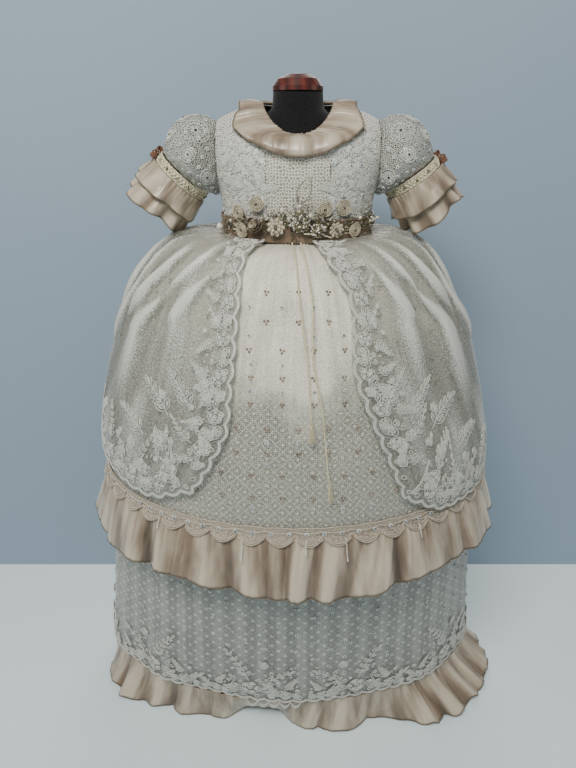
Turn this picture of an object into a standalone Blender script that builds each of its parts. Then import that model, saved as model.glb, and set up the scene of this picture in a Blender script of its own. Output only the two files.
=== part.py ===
"""A baby's christening gown, standing on a small limbless dress form.

The gown is puff-sleeved: a lace bodice, a gathered upper skirt with an open
sheer overskirt, a longer lower skirt, and a satin ruffle under each tier.
Metres, +Z up, the front of the gown faces -Y. The origin is the middle of the
form's base, on the surface that it stands on.
"""

import math
from collections import namedtuple

import bmesh
import bpy
from mathutils import Vector

# Cloth and seams
LACE = 0.0012  # wall of the lace and tulle pieces
SATIN = 0.0014  # wall of the satin pieces
SEAM = 0.0004  # space between two pieces at a seam
SIDE_SEAM = 0.0009  # the same at the skirts' side seams, whose walls lean
AROUND = 40  # steps round a skirt, four quarters of them

# Levels
WAIST_Z = 0.704
NECK_Z = 0.850
TIER_Z = 0.386  # where the upper skirt ends and its ruffle is sewn on
LOWER_HEM_Z = 0.055
CENTRE_INSET = 0.036  # half the width of the smooth centre front
MOST_CENTRE_SHARE = 0.92  # of the bodice's half width, where the neck narrows it
BODICE_PLACES = (9, 8, 7, 6, 5, 4, 3, 2, 0)  # the rows that its panels run through

# Armholes and sleeves
ARMHOLE_X = 0.0945
ARMHOLE_Z = 0.793
ARMHOLE_STEPS = 16
ARMHOLE_CUTTER = 0.100  # the side of the block that opens an armhole

# The bodice, row by row from waist to neck. Each row is an oval at height z,
# whose front hangs lower by dip.
BodiceRow = namedtuple("BodiceRow", "z side front back dip")
BODICE = (
    BodiceRow(WAIST_Z + SEAM, 0.0900, 0.0660, 0.0600, 0.0000),
    BodiceRow(0.7350, 0.0915, 0.0680, 0.0610, 0.0000),
    BodiceRow(0.7520, 0.0938, 0.0690, 0.0620, 0.0000),
    BodiceRow(0.7750, 0.1010, 0.0690, 0.0620, 0.0020),
    BodiceRow(0.8000, 0.1070, 0.0660, 0.0610, 0.0040),
    BodiceRow(0.8200, 0.1060, 0.0600, 0.0580, 0.0100),
    BodiceRow(0.8340, 0.0940, 0.0540, 0.0520, 0.0205),
    BodiceRow(0.8435, 0.0740, 0.0480, 0.0470, 0.0285),
    BodiceRow(0.8490, 0.0560, 0.0450, 0.0420, 0.0335),
    BodiceRow(NECK_Z, 0.0405, 0.0425, 0.0370, 0.0340),
)

# The neck ruffle: how far below the neck each row lies at the shoulders, counted
# in rows of the bodice, how far it stands off, and the height of its waves. The
# bodice's rows lie closer at the front and back, so there it runs through more.
NeckRow = namedtuple("NeckRow", "below off wave")
NECK_RUFFLE = (
    NeckRow(0.00, 0.0018, 0.0),
    NeckRow(0.40, 0.0034, 0.0004),
    NeckRow(0.90, 0.0046, 0.0008),
    NeckRow(1.45, 0.0054, 0.0012),
)
NECK_RUFFLE_GAIN = {"front": 2.4, "back": 1.1}
NECK_PLEATS = 12
NECK_STEPS = 30

# The skirts, row by row from the top. left and right are half widths.
SkirtRow = namedtuple("SkirtRow", "z left right front back")
UPPER_SKIRT = (
    SkirtRow(WAIST_Z, 0.0900, 0.0900, 0.0660, 0.0600),
    SkirtRow(0.7025, 0.1150, 0.1130, 0.0860, 0.0750),
    SkirtRow(0.6970, 0.1460, 0.1370, 0.1060, 0.0870),
    SkirtRow(0.6850, 0.1690, 0.1580, 0.1220, 0.0950),
    SkirtRow(0.6640, 0.1900, 0.1750, 0.1370, 0.1010),
    SkirtRow(0.6320, 0.2110, 0.1930, 0.1520, 0.1050),
    SkirtRow(0.5900, 0.2300, 0.2190, 0.1680, 0.1080),
    SkirtRow(0.5300, 0.2510, 0.2400, 0.1820, 0.1100),
    SkirtRow(0.4550, 0.2650, 0.2580, 0.1910, 0.1110),
    SkirtRow(TIER_Z, 0.2700, 0.2660, 0.1950, 0.1120),
)
UPPER_PLACES = (0, 1, 2, 3, 4.5, 6, 7.5, 9)  # where its panels have a row of points
UPPER_LACE_Z = 0.404  # the top of the lace on its hem
LOWER_TOP_Z = 0.394
LOWER_SKIRT = (
    SkirtRow(LOWER_TOP_Z, 0.2670, 0.2630, 0.1920, 0.1090),
    SkirtRow(0.3000, 0.2740, 0.2650, 0.1800, 0.1100),
    SkirtRow(0.2000, 0.2860, 0.2715, 0.1690, 0.1120),
    SkirtRow(0.1100, 0.2980, 0.2800, 0.1620, 0.1130),
    SkirtRow(LOWER_HEM_Z, 0.3030, 0.2860, 0.1580, 0.1140),
)
LOWER_PLACES = (0, 1, 2.5, 4)
LOWER_LACE_Z = 0.098

# The largest folds of the upper skirt. Each is a soft trough at an angle from
# the front, widest at its foot, deepest a third of the way down.
Fold = namedtuple("Fold", "angle width depth foot_z")
UPPER_FOLDS = (
    Fold(-155, 13, 0.009, 0.42),
    Fold(-122, 11, 0.008, 0.47),
    Fold(-97, 9, 0.008, 0.50),
    Fold(-72, 10, 0.011, 0.46),
    Fold(-48, 9, 0.010, 0.52),
    Fold(-30, 8, 0.006, 0.60),
    Fold(28, 8, 0.007, 0.58),
    Fold(47, 9, 0.011, 0.48),
    Fold(70, 10, 0.010, 0.45),
    Fold(96, 9, 0.008, 0.50),
    Fold(125, 12, 0.009, 0.46),
    Fold(158, 12, 0.008, 0.44),
)
FOLD_TOP_WIDTH = 0.45  # of a fold's width, where it starts
FOLD_SPREAD = 0.75  # and how much it gains by its foot
# The lower skirt hangs in broad waves, deepest at its hem.
LOWER_WAVES = 9
LOWER_WAVE_DEPTH = 0.0035

# The open overskirt: the front edge's angle at each height, and the hem's
# height at each share of the way from the front edge to the centre back.
Edge = namedtuple("Edge", "z left right")
OVERSKIRT_EDGE = (
    Edge(0.7060, -22, 9),
    Edge(0.6500, -18, 17),
    Edge(0.5900, -17, 15),
    Edge(0.5300, -17, 19),
    Edge(0.4700, -22, 24),
    Edge(0.4200, -28, 28),
    Edge(0.3800, -30, 30),
)
Hem = namedtuple("Hem", "share left right")
OVERSKIRT_HEM = (
    Hem(0.00, 0.436, 0.426),
    Hem(0.09, 0.412, 0.392),
    Hem(0.20, 0.420, 0.390),
    Hem(0.38, 0.446, 0.392),
    Hem(0.65, 0.446, 0.415),
    Hem(1.00, 0.440, 0.430),
)
OVERSKIRT_OFF = (0.0030, 0.0085)  # how far it stands off the skirt, top and hem
OVERSKIRT_TOP = 0.12  # where it starts, counted in rows of the upper skirt
BACK_SEAM = 0.004  # the angle between its two panels at the centre back
OVERSKIRT_COLUMNS = (0, 0.04, 0.09, 0.15, 0.21, 0.27, 0.33, 0.39, 0.45, 0.51,
                     0.57, 0.64, 0.71, 0.78, 0.85, 0.92, 1.0)
OVERSKIRT_ROWS = (0, 0.05, 0.13, 0.28, 0.48, 0.68, 0.86, 1.0)
EDGING_COLUMNS = 2  # columns of the panel that the front edging covers
EDGING_ROWS = 1  # rows of it that the hem edging covers

# Ruffles
UPPER_RUFFLE_Z = 0.316
UPPER_RUFFLE_PLEATS = 28
UPPER_RUFFLE_FLARE = 0.026
UPPER_RUFFLE_PLEAT = (0.0006, 0.0085)  # half a pleat's depth at the seam, and its gain
UPPER_RUFFLE_DIP = 0.006  # how far its hem wanders up and down
UPPER_RUFFLE_SHARES = (0, 0.35, 1)
LOWER_RUFFLE_TOP_Z = 0.054
LOWER_RUFFLE_PLEATS = 24
LOWER_RUFFLE_PLEAT = (0.0006, 0.0050)
LOWER_RUFFLE_GROUND = 0.0020  # its hem's outer face above the ground
LOWER_RUFFLE_SHARES = (0, 0.45, 1)
LOWER_RUFFLE_CROWN = 0.25  # how far it arches, as a share of its reach
# How far the lower ruffle reaches past the lower skirt's hem, at each angle.
Reach = namedtuple("Reach", "angle out")
LOWER_REACH = (
    Reach(-180, 0.012),
    Reach(-135, 0.016),
    Reach(-105, 0.012),
    Reach(-84, 0.006),
    Reach(-66, 0.026),
    Reach(-55, 0.034),
    Reach(-44, 0.016),
    Reach(-32, 0.008),
    Reach(-21, 0.000),
    Reach(-15, -0.026),
    Reach(-6, -0.026),
    Reach(0, 0.000),
    Reach(6, 0.012),
    Reach(14, 0.013),
    Reach(26, 0.008),
    Reach(33, 0.022),
    Reach(41, 0.050),
    Reach(60, 0.052),
    Reach(80, 0.043),
    Reach(104, 0.022),
    Reach(140, 0.015),
    Reach(180, 0.012),
)

# A sleeve, ring by ring from the armhole to the band. out is the distance from
# the gown's middle, tilt turns the ring downwards, deep and tall are its
# half sizes.
SleeveRow = namedtuple("SleeveRow", "out z tilt deep tall")
SLEEVE = (
    SleeveRow(ARMHOLE_X + SEAM, ARMHOLE_Z, 0, 0.0300, 0.0400),
    SleeveRow(0.1085, 0.7960, 12, 0.0400, 0.0450),
    SleeveRow(0.1210, 0.7930, 26, 0.0460, 0.0440),
    SleeveRow(0.1300, 0.7850, 38, 0.0420, 0.0390),
    SleeveRow(0.1340, 0.7775, 47, 0.0335, 0.0335),
)
SLEEVE_PLACES = (0, 0.5, 1.1, 2, 3, 4)
CUFF_START = 0.0022  # from the sleeve's last ring to the band
BAND_LENGTH = 0.010
BAND_RADIUS = 0.0345
BAND_STEPS = 20
# The cuff's two layers: where each starts from the band, its length, its
# radius at the band and at its hem, its pleats and their depth.
CuffLayer = namedtuple("CuffLayer", "name length start end pleats depth")
CUFF_LAYERS = (
    CuffLayer("upper", 0.026, 0.0370, 0.0430, 9, 0.0020),
    CuffLayer("lower", 0.047, 0.0330, 0.0390, 8, 0.0034),
)
CUFF_STEPS = 24
CUFF_WANDER = 0.08  # how unevenly long a cuff is, as a share of its length
CUFF_TILT = {"left": 47, "right": 55}

# A bow on the band, section by section from one end of its loops to the other.
BowSection = namedtuple("BowSection", "along tall deep")
BOW = (
    BowSection(-0.0135, 0.0020, 0.0012),
    BowSection(-0.0110, 0.0058, 0.0032),
    BowSection(-0.0050, 0.0048, 0.0030),
    BowSection(-0.0020, 0.0022, 0.0024),
    BowSection(0.0020, 0.0022, 0.0024),
    BowSection(0.0050, 0.0048, 0.0030),
    BowSection(0.0110, 0.0058, 0.0032),
    BowSection(0.0135, 0.0020, 0.0012),
)
BOW_OFF = 0.0045  # its middle above the band

# Ornaments of the belt, on the front of the bodice. x and z place each one,
# off lifts it above the cloth.
Ornament = namedtuple("Ornament", "name kind x z radius thick off")
ORNAMENTS = (
    Ornament("rosette_left_outer", "rosette", -0.0660, 0.7370, 0.0092, 0.0028, 0.0012),
    Ornament("rosette_left_upper", "rosette", -0.0455, 0.7480, 0.0092, 0.0028, 0.0010),
    Ornament("rosette_left_lower", "rosette", -0.0620, 0.7180, 0.0088, 0.0028, 0.0028),
    Ornament("rosette_right_inner", "rosette", 0.0290, 0.7430, 0.0092, 0.0028, 0.0010),
    Ornament("rosette_right_outer", "rosette", 0.0500, 0.7440, 0.0096, 0.0028, 0.0010),
    Ornament("rosette_right_lower", "rosette", 0.0625, 0.7180, 0.0088, 0.0028, 0.0030),
    Ornament("satin_rose", "rose", -0.0455, 0.7275, 0.0105, 0.0090, 0.0042),
    Ornament("ivory_flower", "flower", -0.0235, 0.7240, 0.0115, 0.0060, 0.0030),
    Ornament("cream_flower", "flower", 0.0410, 0.7200, 0.0100, 0.0055, 0.0030),
    Ornament("pearl_spray_middle", "spray", 0.0020, 0.7310, 0.0130, 0.0080, 0.0030),
    Ornament("pearl_spray_lower", "spray", 0.0215, 0.7210, 0.0095, 0.0065, 0.0030),
    Ornament("pearl_spray_right", "spray", 0.0795, 0.7270, 0.0080, 0.0060, 0.0045),
    Ornament("pearl_left", "pearl", -0.0820, 0.7190, 0.0045, 0.0080, 0.0030),
)
BELT_HEIGHT = 0.020
BELT_LIFT = 0.0068  # its lower edge above the waist seam
BELT_OFF = 0.0014  # its inner face above the bodice
BELT_STEPS = 40
ORNAMENT_STEPS = 16

# Cords that hang from the belt: the angle and height of each route point.
CORD_RADIUS = 0.0010
CORD_OFF = 0.0052  # the middle of a cord above the skirt
RoutePoint = namedtuple("RoutePoint", "angle z")
CORD_LONG = (
    RoutePoint(1.5, 0.7028), RoutePoint(3.0, 0.6900), RoutePoint(4.5, 0.6500),
    RoutePoint(4.0, 0.6000), RoutePoint(6.0, 0.5500), RoutePoint(7.0, 0.5000),
    RoutePoint(7.6, 0.4620),
)
CORD_SHORT = (
    RoutePoint(-3.5, 0.7028), RoutePoint(-1.0, 0.6900), RoutePoint(0.5, 0.6500),
    RoutePoint(2.2, 0.6050), RoutePoint(3.0, 0.5650), RoutePoint(3.2, 0.5350),
)
CORD_STEPS = {"long": 40, "short": 30}
# A loop of cord that slips out at the belt's right end and lies on the skirt.
LOOP_RADIUS = 0.0007
LOOP_OFF = 0.0064
LOOP_STEPS = 22
LOOP_CORD = (
    RoutePoint(62.0, 0.7032), RoutePoint(66.0, 0.7015), RoutePoint(71.0, 0.6990),
    RoutePoint(76.0, 0.6966), RoutePoint(79.5, 0.6958), RoutePoint(81.5, 0.6972),
    RoutePoint(79.5, 0.6994), RoutePoint(75.5, 0.7016), RoutePoint(71.5, 0.7032),
)
TASSEL_LENGTH = 0.026
TASSEL_RADIUS = 0.0040
# Its outline, from its top: shares of its length and of its radius.
TASSEL_OUTLINE = ((0.0, 0.40), (0.14, 0.55), (0.24, 0.40), (0.55, 0.75), (1.0, 1.0))

# The dress form
FormRow = namedtuple("FormRow", "z side front back")
FORM = (
    FormRow(0.6050, 0.0640, 0.0440, 0.0420),
    FormRow(0.6180, 0.0740, 0.0530, 0.0480),
    FormRow(0.6600, 0.0800, 0.0580, 0.0520),
    FormRow(0.7080, 0.0800, 0.0570, 0.0520),
    FormRow(0.7600, 0.0850, 0.0600, 0.0540),
    FormRow(0.7980, 0.0880, 0.0520, 0.0530),
    FormRow(0.8090, 0.0840, 0.0400, 0.0510),
    FormRow(0.8200, 0.0740, 0.0335, 0.0480),
    FormRow(0.8300, 0.0590, 0.0300, 0.0420),
    FormRow(0.8390, 0.0400, 0.0280, 0.0330),
    FormRow(0.8480, 0.0300, 0.0270, 0.0280),
    FormRow(0.8640, 0.0285, 0.0270, 0.0270),
)
FORM_STEPS = 28
# The rounded shoulder ends, one ball through the torso scaled to these half sizes.
STUB_REACH = 0.1180
STUB_DEEP = 0.0230
STUB_TALL = 0.0310
STUB_Z = 0.7960
CAP_Z = 0.8644
CAP_RADIUS = 0.0290
CAP_HEIGHT = 0.0180
POLE_RADIUS = 0.0110
BASE_RADIUS = 0.0850
BASE_THICK = 0.0150
FORM_GAP = 0.0003


# ---------------------------------------------------------------- materials

def material(name, colour, roughness, metallic=0.0):
    """A Principled material of that plain finish, made once."""
    made = bpy.data.materials.get(name) or bpy.data.materials.new(name)
    made.use_nodes = True
    shader = made.node_tree.nodes["Principled BSDF"]
    shader.inputs["Base Color"].default_value = (*colour, 1)
    shader.inputs["Roughness"].default_value = roughness
    shader.inputs["Metallic"].default_value = metallic
    return made


def ivory_lace():
    return material("ivory_lace", (0.66, 0.66, 0.61), 0.75)


def guipure_lace():
    return material("guipure_lace", (0.60, 0.60, 0.55), 0.8)


def white_lace():
    return material("white_lace", (0.78, 0.79, 0.77), 0.75)


def silver_lace():
    return material("silver_lace", (0.50, 0.52, 0.50), 0.7)


def tulle():
    return material("tulle", (0.62, 0.65, 0.64), 0.6)


def champagne_satin():
    return material("champagne_satin", (0.56, 0.49, 0.40), 0.38)


def cream_braid():
    return material("cream_braid", (0.70, 0.66, 0.50), 0.7)


def brown_satin():
    return material("brown_satin", (0.30, 0.20, 0.14), 0.4)


def pearl():
    return material("pearl", (0.72, 0.72, 0.68), 0.2)


def form_jersey():
    return material("form_jersey", (0.015, 0.015, 0.017), 0.85)


def cherry_wood():
    return material("cherry_wood", (0.12, 0.035, 0.025), 0.4)


def black_enamel():
    return material("black_enamel", (0.02, 0.02, 0.02), 0.3, 0.6)


# ------------------------------------------------------------ shared shaping

def smooth_between(rows, key, value):
    """Each field of a table at a value of its key, on a smooth curve through the rows."""
    keys = [getattr(row, key) for row in rows]
    if keys[0] > keys[-1]:
        rows, keys = rows[::-1], keys[::-1]
    value = min(max(value, keys[0]), keys[-1])
    i = min(sum(k <= value for k in keys[1:-1]), len(keys) - 2)
    t = (value - keys[i]) / (keys[i + 1] - keys[i])
    return row_blend(rows, i, t)


def row_blend(rows, i, t):
    """The row a share t of the way from row i to the next, with a monotone cubic."""
    before, after = rows[max(i - 1, 0)], rows[min(i + 2, len(rows) - 1)]
    mixed = []
    for a, b, c, d in zip(before, rows[i], rows[i + 1], after):
        first = 0 if (b - a) * (c - b) <= 0 else 2 * (b - a) * (c - b) / (c - a)
        last = 0 if (c - b) * (d - c) <= 0 else 2 * (c - b) * (d - c) / (d - b)
        if i == 0:
            first = c - b
        if i == len(rows) - 2:
            last = c - b
        mixed.append(
            b * (1 + 2 * t) * (1 - t) ** 2 + first * t * (1 - t) ** 2
            + c * t * t * (3 - 2 * t) - last * t * t * (1 - t)
        )
    return type(rows[0])(*mixed)


def row_at(rows, place):
    """The row at a place counted in rows, 0 for the first."""
    i = min(int(place), len(rows) - 2)
    return row_blend(rows, i, place - i)


def place_of(rows, z):
    """Where in a table, counted in rows, the height z lies."""
    low, high = 0.0, len(rows) - 1.0
    falling = rows[0].z > rows[-1].z
    for _ in range(30):
        middle = (low + high) / 2
        if (row_at(rows, middle).z > z) == falling:
            low = middle
        else:
            high = middle
    return (low + high) / 2


def lifted(surface, u, v, off):
    """A point of surface(u, v) moved out along the surface's normal."""
    step = 1e-3
    across = surface(u + step, v) - surface(u - step, v)
    along = surface(u, v + step) - surface(u, v - step)
    normal = along.cross(across).normalized()
    return surface(u, v) + normal * off


def spread(first, last, count):
    return [first + (last - first) * i / count for i in range(count + 1)]


def turn(count):
    """Angles once round, without the last, which is the first again."""
    return [2 * math.pi * i / count - math.pi for i in range(count)]


def put(obj, finish):
    obj.data.materials.clear()
    obj.data.materials.append(finish)
    GOWN.objects.link(obj)
    return obj


def hide(cutter):
    """Moves a cutter to the collection of cutters, which isn't rendered."""
    cutter.display_type = "WIRE"
    cutter.hide_render = True
    for users in cutter.users_collection:
        users.objects.unlink(cutter)
    CUTTERS.objects.link(cutter)
    return cutter


def shell(name, grid, closed, thickness, finish, keep=None):
    """A cloth wall: a sheet through the grid's rows, top to bottom, with Solidify.

    keep(row, column) says which cells the sheet has; it has all of them
    without it. The wall grows inwards from the sheet.
    """
    bm = bmesh.new()
    rows = [[bm.verts.new(p) for p in row] for row in grid]
    columns = len(grid[0]) if closed else len(grid[0]) - 1
    for r in range(len(rows) - 1):
        for c in range(columns):
            if keep is None or keep(r, c):
                d = (c + 1) % len(grid[0])
                bm.faces.new((rows[r][c], rows[r + 1][c], rows[r + 1][d], rows[r][d]))
    loose = [v for v in bm.verts if not v.link_faces]
    bmesh.ops.delete(bm, geom=loose, context="VERTS")
    mesh = bpy.data.meshes.new(name)
    bm.to_mesh(mesh)
    bm.free()
    obj = put(bpy.data.objects.new(name, mesh), finish)
    wall = obj.modifiers.new("Wall", "SOLIDIFY")
    wall.thickness = thickness
    wall.offset = -1
    return obj


def lathe(name, profile, finish, steps=24):
    """A turned solid about its own Z: (radius, height) points from top to bottom."""
    mesh = bpy.data.meshes.new(name)
    bm = bmesh.new()
    verts = [bm.verts.new((radius, 0, height)) for radius, height in profile]
    for a, b in zip(verts, verts[1:]):
        bm.edges.new((a, b))
    bm.to_mesh(mesh)
    bm.free()
    obj = put(bpy.data.objects.new(name, mesh), finish)
    screw = obj.modifiers.new("Turn", "SCREW")
    screw.steps = screw.render_steps = steps
    screw.use_merge_vertices = True
    screw.merge_threshold = 0.0001
    return obj


def loft_solid(name, rings, finish):
    """A closed solid through rings of points, capped at both ends."""
    bm = bmesh.new()
    rows = [[bm.verts.new(p) for p in ring] for ring in rings]
    count = len(rings[0])
    for upper, lower in zip(rows, rows[1:]):
        for c in range(count):
            d = (c + 1) % count
            bm.faces.new((upper[c], lower[c], lower[d], upper[d]))
    bm.faces.new(rows[0])
    bm.faces.new(rows[-1][::-1])
    bmesh.ops.recalc_face_normals(bm, faces=bm.faces)
    mesh = bpy.data.meshes.new(name)
    bm.to_mesh(mesh)
    bm.free()
    return put(bpy.data.objects.new(name, mesh), finish)


def uneven(angle, count, phase):
    """A run of pleats round a ring, from -1 to 1, uneven in spacing and size."""
    wander = 0.7 * math.sin(3 * angle + phase) + 0.5 * math.sin(5 * angle - phase)
    size = 0.78 + 0.22 * math.sin(4 * angle + 1.7 * phase)
    return size * math.cos(count * angle + wander)


# -------------------------------------------------------------------- bodice

def bodice_surface(angle, place):
    row = row_at(BODICE, place)
    depth = row.front if math.cos(angle) > 0 else row.back
    dip = row.dip * max(0.0, math.cos(angle)) ** 1.5
    return Vector((
        row.side * math.sin(angle),
        -depth * math.cos(angle),
        row.z - dip,
    ))


def bodice_up(angle, height):
    """The bodice with its places counted downwards as negative, so that it faces out."""
    return bodice_surface(angle, -height)


def seam_shift(row):
    """The angle that half a seam's width is at the side and back seams."""
    return SEAM / 2 / row.back


def centre_seam(row):
    """The angle of the seam between the centre front and a side front."""
    return math.asin(min(MOST_CENTRE_SHARE, CENTRE_INSET / row.side))


def centre_front_edges(row):
    edge = centre_seam(row) - seam_shift(row)
    return -edge, edge


def side_front_edges(row):
    """The right side front's edges, from the centre seam to the side seam."""
    return centre_seam(row) + seam_shift(row), math.pi / 2 - seam_shift(row)


def back_edges(row):
    """The right back's edges, from the side seam to the centre back."""
    return math.pi / 2 + seam_shift(row), math.pi - seam_shift(row)


def mirrored(edges):
    """The same edges on the left of the gown."""
    return lambda row: tuple(-angle for angle in reversed(edges(row)))


def bodice_panel(name, edges, steps, finish):
    """One panel of the bodice between two seams. edges(row) gives their angles."""
    grid = []
    for place in BODICE_PLACES:
        first, last = edges(row_at(BODICE, place))
        grid.append([bodice_surface(a, place) for a in spread(first, last, steps)])
    return shell(name, grid, False, LACE, finish)


def armhole_cutter(side):
    """A block past the armhole's flat edge, which cuts the opening."""
    bpy.ops.mesh.primitive_cube_add(size=ARMHOLE_CUTTER)
    cutter = bpy.context.active_object
    cutter.name = f"armhole_cutter_{side}"
    sign = -1 if side == "left" else 1
    cutter.location = (sign * (ARMHOLE_X + ARMHOLE_CUTTER / 2), 0, ARMHOLE_Z)
    return hide(cutter)


def open_armhole(panel, cutter):
    cut = panel.modifiers.new("Armhole", "BOOLEAN")
    cut.operation = "DIFFERENCE"
    cut.object = cutter


def bodice():
    """Centre front, two side fronts and two backs, which close edge to edge."""
    bodice_panel("bodice_centre_front", centre_front_edges, 7, ivory_lace())
    for side in ("left", "right"):
        front, back = side_front_edges, back_edges
        if side == "left":
            front, back = mirrored(front), mirrored(back)
        cutter = armhole_cutter(side)
        for panel in (
            bodice_panel(f"bodice_side_front_{side}", front, 6, guipure_lace()),
            bodice_panel(f"bodice_back_{side}", back, 8, guipure_lace()),
        ):
            open_armhole(panel, cutter)


def neck_ruffle():
    """A gathered satin ruffle that lies round the neck, standing off at its edge."""
    neck = len(BODICE) - 1
    grid = []
    for row in NECK_RUFFLE:
        ring = []
        for a in turn(NECK_STEPS):
            gain = NECK_RUFFLE_GAIN["front" if math.cos(a) > 0 else "back"]
            below = row.below * (1 + gain * math.cos(a) ** 2)
            off = row.off + row.wave * uneven(a, NECK_PLEATS, 0.4) + SATIN
            ring.append(lifted(bodice_up, a, below - neck, off))
        grid.append(ring)
    shell("neck_ruffle", grid, True, SATIN, champagne_satin())


# ------------------------------------------------------------------- sleeves

def sleeve_frame(row, sign):
    """The middle of a sleeve ring, the way up along it, and the way out of it."""
    tilt = math.radians(row.tilt)
    middle = Vector((sign * row.out, 0, row.z))
    up = Vector((sign * math.sin(tilt), 0, math.cos(tilt)))
    out = Vector((sign * math.cos(tilt), 0, -math.sin(tilt)))
    return middle, up, out


def ring_points(middle, up, deep, tall, sign, angles):
    """An oval ring whose points run so that a wall between rings faces out."""
    return [
        middle + up * (tall * math.cos(a)) + Vector((0, sign * deep * math.sin(a), 0))
        for a in angles
    ]


def sleeve(side):
    sign = -1 if side == "left" else 1
    grid = []
    rows = SLEEVE[:-1] + (SLEEVE[-1]._replace(tilt=CUFF_TILT[side]),)
    for place in SLEEVE_PLACES:
        row = row_at(rows, place)
        middle, up, _ = sleeve_frame(row, sign)
        grid.append(ring_points(middle, up, row.deep, row.tall, sign, turn(ARMHOLE_STEPS)))
    shell(f"sleeve_{side}", grid, True, LACE, white_lace())


def cuff_frame(side):
    """Where the sleeve ends: its middle, the way up along the band, and the way out."""
    sign = -1 if side == "left" else 1
    return *sleeve_frame(SLEEVE[-1]._replace(tilt=CUFF_TILT[side]), sign), sign


def cuff_band(side):
    middle, up, out, sign = cuff_frame(side)
    grid = [
        ring_points(middle + out * along, up, BAND_RADIUS, BAND_RADIUS, sign, turn(BAND_STEPS))
        for along in (CUFF_START, CUFF_START + BAND_LENGTH)
    ]
    shell(f"cuff_band_{side}", grid, True, SATIN, cream_braid())


def cuff_ruffle(side, layer):
    middle, up, out, sign = cuff_frame(side)
    start = CUFF_START + BAND_LENGTH + SEAM
    grid = []
    shares = (0, 1) if layer.name == "upper" else (0, 0.5, 1)
    for share in shares:
        ring = []
        for a in turn(CUFF_STEPS):
            wave = layer.depth * share * uneven(a, layer.pleats, 1.3 + sign)
            radius = layer.start + (layer.end - layer.start) * share + wave
            wander = 1 + CUFF_WANDER * math.sin(3 * a + sign)
            along = start + layer.length * share * wander
            ring += ring_points(middle + out * along, up, radius, radius, sign, [a])
        grid.append(ring)
    shell(f"cuff_ruffle_{layer.name}_{side}", grid, True, SATIN, champagne_satin())


def sleeve_bow(side):
    """A small tied satin bow, standing on the upper outer end of the band."""
    middle, up, out, sign = cuff_frame(side)
    seat = middle + out * (CUFF_START + BAND_LENGTH / 2) + up * (BAND_RADIUS + BOW_OFF)
    rings = []
    for section in BOW:
        centre = seat + Vector((0, section.along, 0))
        rings.append([
            centre + out * (section.tall * math.cos(a)) + up * (section.deep * math.sin(a))
            for a in turn(8)
        ])
    loft_solid(f"sleeve_bow_{side}", rings, brown_satin())


# -------------------------------------------------------------------- skirts

def oval(row, angle):
    side = row.right if math.sin(angle) > 0 else row.left
    depth = row.front if math.cos(angle) > 0 else row.back
    return Vector((side * math.sin(angle), -depth * math.cos(angle), row.z))


def upper_surface(angle, place):
    """The upper skirt with its folds, at a place counted in rows of its table."""
    row = row_at(UPPER_SKIRT, place)
    point = oval(row, angle)
    inward = Vector((-point.x, -point.y, 0)).normalized()
    degrees = math.degrees(angle)
    for fold in UPPER_FOLDS:
        down = (WAIST_Z - row.z) / (WAIST_Z - fold.foot_z)
        if down >= 1:
            continue
        width = fold.width * (FOLD_TOP_WIDTH + FOLD_SPREAD * down)
        apart = (degrees - fold.angle + 180) % 360 - 180
        depth = fold.depth * min(1.0, 3 * down) * (1 - down ** 2)
        point += inward * depth * math.exp(-(apart / width) ** 2)
    return point


def lower_surface(angle, place):
    """The lower skirt, in broad waves that grow towards its hem."""
    row = row_at(LOWER_SKIRT, place)
    point = oval(row, angle)
    outward = Vector((point.x, point.y, 0)).normalized()
    share = (LOWER_TOP_Z - row.z) / (LOWER_TOP_Z - LOWER_HEM_Z)
    return point + outward * LOWER_WAVE_DEPTH * share * uneven(angle, LOWER_WAVES, 2.1)


def skirt_half(name, surface, places, half, finish):
    """The front or back of a skirt, between its side seams."""
    middle = 0 if half == "front" else math.pi
    shift = SIDE_SEAM / 2 / getattr(LOWER_SKIRT[-1], half)
    first, last = middle - math.pi / 2 + shift, middle + math.pi / 2 - shift
    grid = [
        [surface(a, place) for a in spread(first, last, AROUND // 2)]
        for place in places
    ]
    shell(f"{name}_{half}", grid, False, LACE, finish)


def hem_lace(name, surface, first, last, off, finish):
    """A band of lace laid on a skirt along its hem, between two places of it."""
    grid = [
        [lifted(surface, a, place, off + LACE) for a in turn(AROUND)]
        for place in spread(first, last, 1)
    ]
    shell(name, grid, True, LACE, finish)


def skirts():
    for half in ("front", "back"):
        skirt_half("upper_skirt", upper_surface, UPPER_PLACES, half, ivory_lace())
        skirt_half("lower_skirt", lower_surface, LOWER_PLACES, half, silver_lace())
    hem_lace("upper_hem_lace", upper_surface, place_of(UPPER_SKIRT, UPPER_LACE_Z),
             len(UPPER_SKIRT) - 1, SEAM, white_lace())
    hem_lace("lower_hem_lace", lower_surface, place_of(LOWER_SKIRT, LOWER_LACE_Z),
             len(LOWER_SKIRT) - 1, SEAM * 2, white_lace())


def edge_angle(side, z):
    return math.radians(getattr(smooth_between(OVERSKIRT_EDGE, "z", z), side))


def overskirt_grid(side, off):
    """The overskirt's points, from its front edge to the centre back, waist to hem."""
    sign = -1 if side == "left" else 1
    grid = []
    for down in OVERSKIRT_ROWS:
        row = []
        for share in OVERSKIRT_COLUMNS:
            hem = getattr(smooth_between(OVERSKIRT_HEM, "share", share), side)
            hem_place = place_of(UPPER_SKIRT, hem)
            place = OVERSKIRT_TOP + (hem_place - OVERSKIRT_TOP) * down
            z = row_at(UPPER_SKIRT, place).z
            edge = edge_angle(side, z)
            back = sign * (math.pi - BACK_SEAM / 2)
            angle = edge + (back - edge) * share
            stand = OVERSKIRT_OFF[0] + (OVERSKIRT_OFF[1] - OVERSKIRT_OFF[0]) * down
            row.append(lifted(upper_surface, angle, place, stand + LACE + off))
        grid.append(row if side == "right" else row[::-1])
    return grid


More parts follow.
